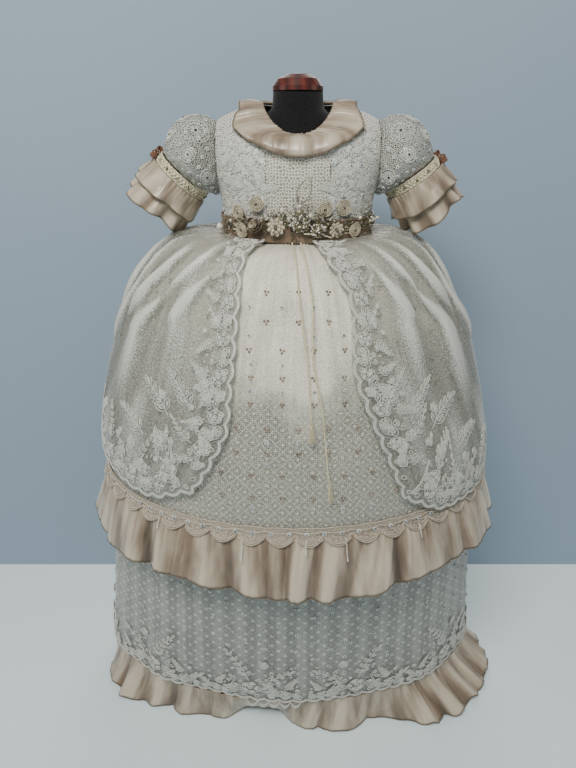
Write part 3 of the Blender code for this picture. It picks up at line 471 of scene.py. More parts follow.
def grown(name, seed_mesh, tree, values):
    """Runs a node tree on a seed mesh and makes the result a plain mesh."""
    piece = bpy.data.objects.new(name, seed_mesh)
    bpy.context.scene.collection.objects.link(piece)
    grow = piece.modifiers.new("Grow", "NODES")
    grow.node_group = tree
    for socket in tree.interface.items_tree:
        if socket.in_out == "INPUT" and socket.name in values:
            grow[socket.identifier] = values[socket.name]
    graph = bpy.context.evaluated_depsgraph_get()
    mesh = bpy.data.meshes.new_from_object(piece.evaluated_get(graph))
    piece.modifiers.clear()
    piece.data = mesh
    return piece


def couching_tree():
    """Round cord along every edge path of a mesh, thicker where "radius" says so."""
    tree, given, out = node_tool("couched_cord", (
        ("Thickness", "NodeSocketFloat"), ("Sides", "NodeSocketInt"),
        ("Finish", "NodeSocketMaterial")))
    line = node(tree, "GeometryNodeMeshToCurve", {0: given["Geometry"]})
    ring = node(tree, "GeometryNodeCurvePrimitiveCircle",
                {"Resolution": given["Sides"], "Radius": given["Thickness"]})
    tube = node(tree, "GeometryNodeCurveToMesh", {"Curve": line, "Profile Curve": ring,
                                                  "Fill Caps": True})
    real = node(tree, "GeometryNodeRealizeInstances", {0: tube})
    finished = node(tree, "GeometryNodeSetMaterial", {0: real, "Material": given["Finish"]})
    plug(tree, out, {0: finished})
    return tree


def sewing_tree():
    """One small thing on each point, its Z along "facing", its X along "along"."""
    tree, given, out = node_tool("sewn_on", (
        ("Thing", "NodeSocketObject"), ("Finish", "NodeSocketMaterial")))
    facing, along, size = (
        node(tree, "GeometryNodeInputNamedAttribute", {"Name": attribute},
             data_type="FLOAT_VECTOR") for attribute in ("facing", "along", "size"))
    turned = node(tree, "FunctionNodeAxesToRotation",
                  {"Primary Axis": facing, "Secondary Axis": along},
                  primary_axis="Z", secondary_axis="X")
    thing = node(tree, "GeometryNodeObjectInfo", {"Object": given["Thing"]})
    copies = node(tree, "GeometryNodeInstanceOnPoints",
                  {"Points": given["Geometry"], "Instance": thing.outputs["Geometry"],
                   "Rotation": turned, "Scale": size})
    real = node(tree, "GeometryNodeRealizeInstances", {0: copies})
    finished = node(tree, "GeometryNodeSetMaterial", {0: real, "Material": given["Finish"]})
    plug(tree, out, {0: finished})
    return tree


COUCHING = couching_tree()
SEWING = sewing_tree()


def corded(name, paths, radius, finish, sides=4):
    """Cord along the paths. A path whose ends meet is closed."""
    points, edges = [], []
    for path in paths:
        first, count = len(points), len(path)
        looped = np.linalg.norm(path[0] - path[-1]) < 1e-6
        points += path[:-1].tolist() if looped else path.tolist()
        edges += [(first + i, first + i + 1) for i in range(count - 2 if looped else count - 1)]
        if looped:
            edges.append((first + count - 2, first))
    seed = bpy.data.meshes.new(name)
    seed.from_pydata(points, edges, [])
    piece = grown(name, seed, COUCHING, {"Thickness": radius, "Sides": sides,
                                         "Finish": finish})
    piece.data.shade_smooth()
    return piece


def sewn(name, thing, seats, finish):
    """A copy of a small thing on each seat: its point, facing, direction and size."""
    seed = bpy.data.meshes.new(name)
    seed.from_pydata([tuple(seat[0]) for seat in seats], [], [])
    for field, attribute in enumerate(("facing", "along", "size"), 1):
        values = seed.attributes.new(attribute, "FLOAT_VECTOR", "POINT")
        values.data.foreach_set("vector", np.array([s[field] for s in seats], np.float32).ravel())
    piece = grown(name, seed, SEWING, {"Thing": thing, "Finish": finish})
    piece.data.shade_smooth()
    return piece


def small_thing(name, rings, top=None):
    """A low domed thing through rings of points, open underneath, with a middle point."""
    points = [tuple(p) for ring in rings for p in ring]
    count = len(rings[0])
    faces = [(r * count + c, r * count + (c + 1) % count, (r + 1) * count + (c + 1) % count,
              (r + 1) * count + c) for r in range(len(rings) - 1) for c in range(count)]
    last = (len(rings) - 1) * count
    if top is not None:
        points.append(top)
        faces += [(last + c, last + (c + 1) % count, len(points) - 1) for c in range(count)]
    faces.append(tuple(reversed(range(count))))
    mesh = bpy.data.meshes.new(name)
    mesh.from_pydata(points, [], faces)
    return bpy.data.objects.new(name, mesh)


def dome(name, steps, heights):
    """A round low thing: its rings' radii and heights, from its foot to its middle."""
    angles = turn(steps)
    rings = [[(r * math.cos(a), r * math.sin(a), h) for a in angles] for r, h in heights[:-1]]
    return small_thing(name, rings, (0, 0, heights[-1][1]))


def petal_thing():
    """A padded satin-stitch petal one metre long and wide, its point at +X."""
    outline = [(-0.50, 0.0), (-0.30, 0.26), (0.05, 0.46), (0.32, 0.34), (0.50, 0.0),
               (0.32, -0.34), (0.05, -0.46), (-0.30, -0.26)]
    return small_thing("petal", [[(x, y, 0) for x, y in outline],
                                 [(x * 0.62, y * 0.62, 0.13) for x, y in outline]],
                       (0, 0, 0.16))


PETAL = petal_thing()
BEAD = dome("bead", 6, ((0.30, -0.4), (0.50, 0), (0.38, 0.33), (0, 0.5)))
SEQUIN = dome("sequin", 8, ((0.50, 0), (0.46, 0.16), (0.26, 0.10), (0, 0.02)))


def leaf(length, width):
    """A leaf from the origin along X: its outline in cord, filled with one padded petal."""
    t = np.linspace(0, 1, 9)
    upper = np.stack([length * t, width / 2 * np.sin(math.pi * t) ** 0.8], -1)
    outline = np.concatenate([upper, upper[-2::-1] * (1, -1)])
    return [outline], [(length * 0.5, 0, 0, length * 0.55, width * 0.42)]


def moved(drawing, x=0.0, y=0.0, angle=0.0, size=1.0):
    """A drawing turned, scaled and carried to x, y."""
    c, s = math.cos(angle) * size, math.sin(angle) * size
    cords = [np.stack([x + p[:, 0] * c - p[:, 1] * s, y + p[:, 0] * s + p[:, 1] * c], -1)
             for p in drawing[0]]
    petals = [(x + px * c - py * s, y + px * s + py * c, way + angle, long * size, wide * size)
              for px, py, way, long, wide in drawing[1]]
    return cords, petals


def together(*drawings):
    return [c for d in drawings for c in d[0]], [p for d in drawings for p in d[1]]


def rose(radius, lobes=5, turned=0.0):
    """An open rose: lobed outline, a second ring inside, a coiled heart, padded petals."""
    t = np.linspace(0, 2 * math.pi, 8 * lobes + 1)
    rim = radius * (0.80 + 0.20 * np.abs(np.cos(lobes / 2 * t)))
    inner = 0.52 * radius * (0.86 + 0.14 * np.abs(np.sin(lobes / 2 * t)))
    coil_t = np.linspace(0, 3.2 * math.pi, 20)
    coil = radius * (0.10 + 0.20 * coil_t / coil_t[-1])
    cords = [np.stack([r * np.cos(a), r * np.sin(a)], -1)
             for r, a in ((rim, t), (inner, t), (coil, coil_t))]
    petals = [(0.68 * radius * math.cos(a), 0.68 * radius * math.sin(a), a,
               0.42 * radius, 0.78 * radius)
              for a in (np.arange(lobes) * 2 * math.pi / lobes)]
    return moved((cords, petals), angle=turned)


def fern(length, pairs, bend, leaf_length=0.010):
    """A bent stem with leaflets on both sides, smaller towards its tip."""
    t = np.linspace(0, 1, 10)
    line = np.stack([length * t, bend * length * t ** 2], -1)
    parts = [([line], [])]
    for k in range(pairs):
        share = 0.18 + 0.74 * k / max(1, pairs - 1)
        x, y = length * share, bend * length * share ** 2
        lean = math.atan(2 * bend * share)
        long = leaf_length * (1 - 0.5 * share)
        for side in (-1, 1):
            parts.append(moved(leaf(long, long * 0.46), x, y, lean + side * 0.85))
    parts.append(moved(leaf(leaf_length * 0.7, leaf_length * 0.3), length, bend * length,
                       math.atan(2 * bend)))
    return together(*parts)


def curl(radius, turns=1.2, tail=1.6):
    """A tendril: a short tail that rolls up into a coil."""
    t = np.linspace(0, turns * 2 * math.pi, int(14 * turns))
    r = radius * (1 - 0.75 * t / t[-1])
    coil = np.stack([r * np.sin(t), radius - r * np.cos(t)], -1)
    start = np.array([[-tail * radius, -0.3 * radius], [-0.8 * tail * radius, -0.02 * radius]])
    return [np.concatenate([start, coil])], []


def carried(place, drawing, raise_by):
    """A flat drawing carried to the cloth: its cords' paths and its petals' seats."""
    ends = np.cumsum([len(path) for path in drawing[0]])
    x, y = np.concatenate(drawing[0]).T
    paths = np.split(place(x, y, raise_by), ends[:-1])
    seats = []
    if drawing[1]:
        x, y, way, long, wide = np.array(drawing[1]).T
        step = 1e-4
        spot = place(x, y, raise_by * 0.2)
        ahead = place(x + step * np.cos(way), y + step * np.sin(way), raise_by * 0.2) - spot
        aside = place(x - step * np.sin(way), y + step * np.cos(way), raise_by * 0.2) - spot
        facing = place(x, y, raise_by * 0.2 + step) - spot
        for i in range(len(x)):
            stretch = np.minimum((np.linalg.norm(ahead[i]), np.linalg.norm(aside[i])), 1.5 * step) / step
            size = long[i] * stretch[0], wide[i] * stretch[1], min(long[i], wide[i]) * 1.1
            seats.append((spot[i], facing[i] / step, ahead[i] / step, size))
    return paths, seats


def on_cloth(surface, u, v, x, y, off):
    """Points at x, y metres from the place u, v of a surface, along it, and off it.

    x runs to the right and y up, as seen from outside.
    """
    step = 1e-3
    right = (surface(u + step, v) - surface(u - step, v)) / (2 * step)
    down = (surface(u, v + step) - surface(u, v - step)) / (2 * step)
    flat = np.array([[right @ right, right @ down], [right @ down, down @ down]])
    way_x = right / np.linalg.norm(right)
    way_y = np.cross(np.cross(down, right), right)
    way_y = way_y / np.linalg.norm(way_y) * (1 if way_y @ down < 0 else -1)
    du_x, dv_x = np.linalg.solve(flat, [right @ way_x, down @ way_x])
    du_y, dv_y = np.linalg.solve(flat, [right @ way_y, down @ way_y])
    return lifted(surface, u + x * du_x + y * du_y, v + x * dv_x + y * dv_y,
                  np.broadcast_to(off, np.shape(x)))


cotton = white_embroidery("mercerised_cotton_embroidery", "EDEDE6", "A9A9A1")
CORD = 0.0006  # half the width of the lace's cord

# The big motifs of one side front and of one back, placed from the
# centre seam: x and height, kind, size and turn.
FRONT_MOTIFS = (
    (0.046, 0.806, "rose", 0.0150, 0.2), (0.052, 0.774, "rose", 0.0130, 0.9),
    (0.066, 0.750, "rose", 0.0090, 0.4), (0.070, 0.790, "rose", 0.0085, 1.1),
    (0.041, 0.752, "rose", 0.0085, 0.1), (0.060, 0.825, "rose", 0.0075, 0.7),
    (0.080, 0.768, "rose", 0.0070, 0.3), (0.078, 0.812, "rose", 0.0065, 0.5),
    (0.046, 0.789, "fern", 0.0200, -0.4), (0.064, 0.806, "fern", 0.0200, 1.2),
    (0.066, 0.764, "fern", 0.0180, 0.3), (0.044, 0.762, "fern", 0.0170, 2.6),
    (0.074, 0.738, "fern", 0.0180, 2.2), (0.052, 0.738, "fern", 0.0160, 2.0),
    (0.050, 0.828, "fern", 0.0150, 0.2), (0.084, 0.790, "fern", 0.0150, 1.9),
    (0.044, 0.826, "curl", 0.0050, 1.5), (0.062, 0.786, "curl", 0.0045, -0.8),
    (0.084, 0.750, "curl", 0.0045, 0.6), (0.058, 0.757, "curl", 0.0040, 2.4),
    (0.074, 0.826, "curl", 0.0040, 0.9), (0.044, 0.741, "curl", 0.0040, -0.5),
)
BACK_ROWS = ((0.832, 4), (0.812, 5), (0.790, 6), (0.766, 6), (0.744, 6))  # height, roses


def motif(kind, size, turned):
    if kind == "rose":
        return moved(rose(size), angle=turned)
    if kind == "fern":
        return moved(fern(size, 5 if size > 0.012 else 3, 0.35, size * 0.42), angle=turned)
    if kind == "ring":
        t = np.linspace(0, 2 * math.pi, 10)
        return [size * np.stack([np.cos(t), np.sin(t)], -1)], []
    return moved(curl(size), angle=turned)


def place_at_height(table, height):
    """Where in a table, counted in rows, a height lies."""
    places = np.linspace(0, len(table) - 1, 2000)
    heights = row_at(table, places)[:, 0]
    order = slice(None, None, -1) if heights[0] > heights[-1] else slice(None)
    return np.interp(height, heights[order], places[order])


def couch_motifs(name, slot_name, surface, spots, cad_node, raise_by=CORD):
    """Embroiders motifs at spots (u, v, drawing, mirrored) of a surface."""
    paths, seats = [], []
    for u, v, drawing, mirrored in spots:
        def place(x, y, off, u=u, v=v, mirrored=mirrored):
            return on_cloth(surface, u, v, -x if mirrored else x, y, off)
        more_paths, more_seats = carried(place, drawing, raise_by)
        paths += more_paths
        seats += more_seats
    cords = corded(name + "_cords", paths, CORD, cotton)
    petals = sewn(name + "_petals", PETAL, seats, cotton)
    for piece in (cords, petals):
        settle(piece, slot_name, cad_node)
    return cords, petals


def bodice_spot(x, height):
    place = place_at_height(BODICE, height)
    return math.asin(np.clip(x / row_at(BODICE, place)[1], -0.995, 0.995)), -place


picks = np.random.default_rng(4)
for hand, side_name in ((-1, "left"), (1, "right")):
    spots = [(*bodice_spot(hand * x, height), motif(kind, size, turned), hand < 0)
             for x, height, kind, size, turned in FRONT_MOTIFS]
    for height in np.arange(0.736, 0.838, 0.0068):
        for x in np.arange(0.0395, 0.0905, 0.0068):
            kind = ("rose", "curl", "ring", "fern", "ring")[int(picks.integers(5))]
            size = {"rose": 0.0036, "curl": 0.0022, "ring": 0.0019, "fern": 0.0075}[kind]
            spots.append((*bodice_spot(hand * (x + picks.uniform(-0.002, 0.002)),
                                       height + picks.uniform(-0.002, 0.002)),
                          motif(kind, size * picks.uniform(0.8, 1.25), picks.uniform(0, 6.3)),
                          hand < 0))
    couch_motifs(f"rose_lace_front_{side_name}", "guipure_lace", bodice_surface, spots,
                 f"bodice_side_front_{side_name}")
    spots = []
    for row_number, (height, count) in enumerate(BACK_ROWS):
        place = place_at_height(BODICE, height)
        for k in range(count):
            share = (k + 0.5 + 0.22 * (-1) ** row_number) / count
            angle = hand * (math.pi / 2 + 0.10 + (math.pi / 2 - 0.20) * share)
            if abs(row_at(BODICE, place)[1] * math.sin(angle)) > ARMHOLE_X - 0.006:
                continue
            kind = ("rose", "fern", "rose", "curl")[(k + row_number) % 4]
            size = {"rose": 0.0085, "fern": 0.0170, "curl": 0.0048}[kind]
            spots.append((angle, -place, motif(kind, size * picks.uniform(0.85, 1.15),
                                               picks.uniform(0, 6.3)), hand < 0))
    couch_motifs(f"rose_lace_back_{side_name}", "guipure_lace", bodice_surface, spots,
                 f"bodice_back_{side_name}")


def glass_beads(name, colour, deep, gloss=0.12, bright=0.7):
    """Small glass beads: a clear hard gloss over a milky or metallic body."""
    made, tree, shader = new_material(name)
    place = node(tree, "ShaderNodeTexCoord").outputs["Object"]
    each = node(tree, "ShaderNodeTexNoise", {"Vector": place, "Scale": 160.0})
    tone = node(tree, "ShaderNodeValToRGB", {0: each},
                stops=((0.40, linear(deep)), (0.60, linear(colour))))
    plug(tree, shader, {"Base Color": tone, "Roughness": gloss, "Metallic": 0.0,
                        "Coat Weight": bright, "Coat Roughness": 0.05})
    return made


pearl_finish = glass_beads("glass_pearl", "F2EFE6", "CFC9BC")
jet_finish = glass_beads("smoked_crystal", "3A3632", "1E1C1A", 0.08)
sequin_finish = glass_beads("iridescent_sequin", "EDEFEE", "BFC6C6", 0.18)
blush_finish = glass_beads("blush_bead", "A08A78", "6F5D50", 0.2)


def seats_on(surface, spots, size, off):
    """Seats for round things at places (u, v) of a surface."""
    u, v = np.array(spots).T
    facing = normal_at(surface, u, v)
    points = surface(u, v) + facing * off
    along = np.cross(facing, (0.13, 0.21, 1.0))
    return [(p, f, a, (size,) * 3) for p, f, a in zip(points, facing, along)]


# Sequins with a dark bead in the middle, each listed one by one, small pearls on a
# loose grid, and blush dots in rows on the centre front.
bodice_sequins, bodice_pearls, centre_dots = [], [], []
for hand in (-1, 1):
    for x, height in ((0.046, 0.806), (0.052, 0.774), (0.066, 0.750), (0.070, 0.790),
                      (0.041, 0.752), (0.060, 0.825), (0.080, 0.768), (0.038, 0.793),
                      (0.058, 0.790), (0.050, 0.757), (0.074, 0.755), (0.047, 0.829)):
        bodice_sequins.append(bodice_spot(hand * x, height))
    for height in np.arange(0.742, 0.832, 0.0075):
        for x in np.arange(0.039, 0.086, 0.0085):
            bodice_pearls.append(bodice_spot(hand * (x + picks.uniform(-0.003, 0.003)),
                                             height + picks.uniform(-0.003, 0.003)))
for row_number, height in enumerate(np.arange(0.755, 0.815, 0.0115)):
    for x in np.arange(-0.028, 0.029, 0.0140) + 0.007 * (row_number % 2):
        centre_dots.append(bodice_spot(x, height))
for piece_name, thing, spots, size, off, finish in (
        ("bodice_sequins", SEQUIN, bodice_sequins, 0.0052, 0.0009, sequin_finish),
        ("bodice_sequin_eyes", BEAD, bodice_sequins, 0.0017, 0.0016, jet_finish),
        ("bodice_pearls", BEAD, bodice_pearls, 0.0019, 0.0006, pearl_finish),
        ("bodice_blush_dots", BEAD, centre_dots, 0.0015, 0.0003, blush_finish)):
    settle(sewn(piece_name, thing, seats_on(bodice_surface, spots, size, off), finish),
           "guipure_lace")


# ----------------------------------------------------------- neck ruffle
# A strip of champagne taffeta gathered into the neck seam and lying on the
# bodice, its free edge turned under in a thin rolled hem of darker thread.

def champagne_taffeta(name, light="CCBFAA", deep="53473A", pink="897867"):
    """Crisp silk-like taffeta: a close plain weave with a soft cross-wise shine. Its colour is painted
    lighter on the tops of its folds and of its crushed wrinkles, and darker in their troughs, through
    pinkish beige, as light and shade."""
    made, tree, shader = new_material(name)
    rib_mm = 1.1  # the real threads are four times finer, and would not show
    uv = node(tree, "ShaderNodeUVMap", uv_map="cloth")
    ribs = node(tree, "ShaderNodeTexWave", {"Vector": uv, "Scale": 1000 / rib_mm / 20,
                                            "Distortion": 1.2, "Detail": 2.0},
                bands_direction="Y")
    wide = node(tree, "ShaderNodeMapping", {"Vector": uv, "Scale": (34.0, 9.0, 1.0)})
    crush = node(tree, "ShaderNodeTexNoise", {"Vector": wide, "Scale": 1.0, "Detail": 4.0,
                                              "Roughness": 0.55})
    crease = node(tree, "ShaderNodeTexVoronoi",
                  {"Vector": wide, "Scale": 1.1, "Randomness": 1.0},
                  voronoi_dimensions="2D", feature="DISTANCE_TO_EDGE")
    # painted light and shade: this attribute is 1 on fold tops and 0 in troughs, and lifts the colour
    # from dark to light
    fold_top_shading = node(tree, "ShaderNodeAttribute", attribute_name="crest_shading").outputs["Fac"]
    mixed = node(tree, "ShaderNodeMath", {0: fold_top_shading, 1: 0.44, 2: 0.0},
                 operation="MULTIPLY_ADD")
    plug(tree, mixed, {2: crush})
    tone = node(tree, "ShaderNodeValToRGB", {0: mixed},
                stops=((0.38, linear(deep)), (0.62, linear(pink)), (0.90, linear(light))))
    fine = node(tree, "ShaderNodeBump", {"Height": ribs.outputs["Fac"], "Strength": 0.06,
                                         "Distance": 0.0004})
    folded = node(tree, "ShaderNodeMapRange", {0: crease.outputs["Distance"], 1: 0.0, 2: 0.12})
    relief = node(tree, "ShaderNodeBump", {"Height": folded, "Strength": 0.30,
                                           "Distance": 0.0016, "Normal": fine})
    soft = node(tree, "ShaderNodeBump", {"Height": crush, "Strength": 0.5,
                                         "Distance": 0.004, "Normal": relief})
    plug(tree, shader, {"Base Color": tone, "Normal": soft, "Roughness": 0.30,
                        "Sheen Weight": 0.35, "Sheen Roughness": 0.3,
                        "Specular IOR Level": 0.6})
    return made


def rolled_hem_thread(name="olive_brown_rolled_hem", colour="7A6A54"):
    """The hem's tight zigzag of twisted thread: dark, slightly ribbed and matt."""
    made, tree, shader = new_material(name)
    twist_mm = 1.0
    place = node(tree, "ShaderNodeTexCoord").outputs["Object"]
    twist = node(tree, "ShaderNodeTexNoise", {"Vector": place, "Scale": 1000 / twist_mm})
    tone = node(tree, "ShaderNodeValToRGB", {0: twist},
                stops=((0.35, linear("54472F")), (0.65, linear(colour))))
    plug(tree, shader, {"Base Color": tone, "Roughness": 0.7, "Sheen Weight": 0.2})
    return made


taffeta = champagne_taffeta("champagne_taffeta")
hem_thread = rolled_hem_thread()
SATIN_WALL = 0.0008
HEM_CORD = 0.0006
CREST_REACH = 0.0075  # from the bottom of a deep fold to the top of a high one


def uneven(angle, count, phase):
    """A run of pleats round a ring, from -1 to 1, uneven in spacing and size."""
    wander = 0.7 * np.sin(3 * angle + phase) + 0.5 * np.sin(5 * angle - phase)
    size = 0.78 + 0.22 * np.sin(4 * angle + 1.7 * phase)
    return size * np.cos(count * angle + wander)


def sharp_folds(angle, folds):
    """Narrow valleys at chosen angles (degrees, half width, depth), a soft swell beside each."""
    depth = 0 * angle
    for degrees, width, deep in folds:
        away = (np.degrees(angle) - degrees + 180) % 360 - 180
        depth = depth - deep * np.exp(-np.abs(away / width) ** 1.4)
        depth = depth + 0.35 * deep * np.exp(-((np.abs(away) - 3.2 * width) / (1.6 * width)) ** 2)
    return depth


def gather_lines(angle, count, phase, share, fade=3.0):
    """Sharp little creases that start at a gathered seam and die out below it."""
    wander = 1.1 * np.sin(2 * angle + phase) + 0.8 * np.sin(7 * angle - phase)
    line = 1 - np.abs(np.sin(count / 2 * angle + wander + 0.6 * share))
    reach = 0.65 + 0.35 * np.sin(11 * angle + 2 * phase)
    return line ** 3 * np.exp(-fade * share / reach)


def satin_ruffle(name, grid, cad_node, flat_size):
    """A gathered ruffle's cloth and its rolled hem."""
    cloth = thicken(sheet(name + "_cloth", grid, taffeta, closed=True, gathered=True),
                    SATIN_WALL)
    # How far each point stands out of its neighbours, from 0 in a trough to 1 on a fold's top; the
    # taffeta's colour is painted darker and lighter by it, as shade and light.
    out = np.linalg.norm(grid - grid.mean(1, keepdims=True), axis=-1)
    near = sum(np.roll(out, k, 1) for k in range(-14, 15)) / 29
    crest_shading = np.clip(0.5 + (out - near) / CREST_REACH, 0, 1)
    cloth.data.attributes.new("crest_shading", "FLOAT", "POINT").data.foreach_set(
        "value", crest_shading.astype(np.float32).ravel())
    settle(cloth, "champagne_satin", cad_node)
    edge = grid[-1] + (grid[-1] - grid[-2]) * 0.2
    hem = corded(name + "_hem", [np.concatenate([edge, edge[:1]])], HEM_CORD, hem_thread, 6)
    settle(hem, "champagne_satin", cad_node)
    return cloth


# how far below the neck at the side, off the bodice, and depth of its waves
NECK_RUFFLE = ((0.00, 0.0018, 0.0), (0.40, 0.0034, 0.0004), (0.90, 0.0046, 0.0008),
               (1.45, 0.0054, 0.0012))
share = np.linspace(0, 1, 18)[:, None]
below, off, wave = np.moveaxis(row_at(NECK_RUFFLE, 3 * share[:, 0]), -1, 0)[..., None]
around = turn(360)
gain = np.where(np.abs(around) < math.pi / 2, 2.4, 1.1)  # it is widest at the front
below = below * (1 + gain * np.cos(around) ** 2)
frill = off + wave * 1.5 * uneven(around, 17, 0.4) + 0.0022 * gather_lines(around, 90, 0.4, share, 1.4)
frill = lifted(bodice_surface, around + 0.015 * np.sin(9 * around) * share, NECK + below,
               frill + 0.0010)
satin_ruffle("neck_ruffle", frill, "neck_ruffle",
             (0.40, 0.030))
piping = lifted(bodice_surface, around, NECK + 0.02 + 0 * around, 0.0020 + 0 * around)
settle(corded("neck_piping", [np.concatenate([piping, piping[:1]])], 0.0011, hem_thread, 6),
       "champagne_satin", "neck_ruffle")


# ------------------------------------------------------------- sleeves
# Short puffs of open white lace, gathered at the armhole and the band. Sun-ray
# medallions are worked on their heads, where the mesh is open and the dark form
# shows; a braid band holds each one, with a two-layer taffeta cuff and a bow.

def open_lace(name, light, shade, cell_mm, least, most):
    """Sheer lace: white threads, and clear net between them, more open where "open"
    says so."""
    made, tree, shader = new_material(name)
    uv = node(tree, "ShaderNodeUVMap", uv_map="cloth")
    mesh_cells = node(tree, "ShaderNodeTexVoronoi",
                      {"Vector": uv, "Scale": 1000 / cell_mm, "Randomness": 0.55},
                      voronoi_dimensions="2D", feature="DISTANCE_TO_EDGE")
    figure = node(tree, "ShaderNodeTexVoronoi",
                  {"Vector": uv, "Scale": 1000 / (cell_mm * 4), "Randomness": 0.35},
                  voronoi_dimensions="2D")
    rays = node(tree, "ShaderNodeMath", {0: figure.outputs["Distance"], 1: 28.0},
                operation="MULTIPLY")
    rings_of_thread = node(tree, "ShaderNodeMath", {0: rays}, operation="SINE")
    rings_open = node(tree, "ShaderNodeMapRange", {0: rings_of_thread, 1: 0.55, 2: 1.0})
    threads = node(tree, "ShaderNodeMapRange",
                   {0: mesh_cells.outputs["Distance"], 1: 0.03, 2: 0.11, 3: 1.0, 4: 0.0})
    thread = node(tree, "ShaderNodeMath", {0: threads, 1: rings_open}, operation="MAXIMUM")
    openness = node(tree, "ShaderNodeAttribute", attribute_name="open")
    net = node(tree, "ShaderNodeMapRange", {0: openness.outputs["Fac"], 3: most, 4: least})
    alpha = node(tree, "ShaderNodeMath", {0: thread, 1: net}, operation="MAXIMUM")
    tone = node(tree, "ShaderNodeMix", {0: thread, 6: linear(shade), 7: linear(light)},
                data_type="RGBA").outputs[2]
    relief = node(tree, "ShaderNodeBump", {"Height": thread, "Strength": 0.7,
                                           "Distance": 0.0005})
    plug(tree, shader, {"Base Color": tone, "Alpha": alpha, "Normal": relief,
                        "Roughness": 0.7, "Sheen Weight": 0.2})
    return made


# out, z, tilt, half depth, half height, from the armhole to the band
SLEEVE = ((ARMHOLE_X + SEAM, 0.7930, 0, 0.0300, 0.0400), (0.1085, 0.7960, 12, 0.0400, 0.0450),
          (0.1210, 0.7930, 26, 0.0460, 0.0440), (0.1300, 0.7850, 38, 0.0420, 0.0390),
          (0.1340, 0.7775, 47, 0.0335, 0.0335))
CUFF_TILT = {-1: 47, 1: 55}
BAND_START, BAND_LENGTH, BAND_RADIUS = 0.0022, 0.010, 0.0345
# name, length, radius at the band and at the hem, pleats, depth, flat size
CUFF_LAYERS = (("upper", 0.026, 0.0370, 0.0430, 9, 0.0020, (0.34, 0.026)),
               ("lower", 0.047, 0.0330, 0.0390, 8, 0.0034, (0.30, 0.048)))
BOW_RISE = 0.0045


def sleeve_surface(hand):
    """The sleeve at an angle round it, 0 at its top, and a place from armhole to band."""
    rows = SLEEVE[:-1] + (SLEEVE[-1][:2] + (CUFF_TILT[hand],) + SLEEVE[-1][3:],)

    def surface(angle, place):
        out, level, tilt, deep, tall = np.moveaxis(row_at(rows, place), -1, 0)
        tilt = np.radians(tilt)
        ends = np.exp(-3.2 * place) + np.exp(-2.6 * (4 - place))
        gather = 1 + 0.050 * ends * uneven(angle, 15, 1.0 + hand)
        tall, deep = tall * gather, deep * gather
        return np.stack(np.broadcast_arrays(
            hand * (out + tall * np.cos(angle) * np.sin(tilt)),
            hand * deep * np.sin(angle), level + tall * np.cos(angle) * np.cos(tilt)), -1)

    return surface


def cuff_surface(hand, radius_of):
    """A tube round the arm past the sleeve: an angle round it and metres along it."""
    out, level = SLEEVE[-1][:2]
    tilt = math.radians(CUFF_TILT[hand])
    up = np.array([hand * math.sin(tilt), 0, math.cos(tilt)])
    outward = np.array([hand * math.cos(tilt), 0, -math.sin(tilt)])

    def surface(angle, along):
        angle, along = np.broadcast_arrays(angle, along)
        radius = radius_of(angle, along)[..., None]
        return (np.array([hand * out, 0, level]) + outward * along[..., None]
                + radius * up * np.cos(angle)[..., None]
                + radius * np.array([0, hand, 0]) * np.sin(angle)[..., None])

    return surface


def sun(radius, rays=16):
    """A sun-ray medallion: a ring, rays, and two rings of loops round them."""
    t = np.linspace(0, 2 * math.pi, 33)
    cords = [np.stack([r * radius * np.cos(t), r * radius * np.sin(t)], -1)
             for r in (0.16, 0.62 + 0.05 * np.abs(np.cos(rays / 2 * t)),
                       0.94 + 0.08 * np.abs(np.sin(rays / 2 * t)))]
    for a in np.arange(rays) * 2 * math.pi / rays:
        ends = np.array([[0.16, 0], [0.62, 0]]) * radius
        cords.append(moved(([ends], []), angle=a)[0][0])
    petals = [(0.79 * radius * math.cos(a), 0.79 * radius * math.sin(a), a,
               0.22 * radius, 0.16 * radius) for a in np.arange(rays) * 2 * math.pi / rays]
    return cords, petals


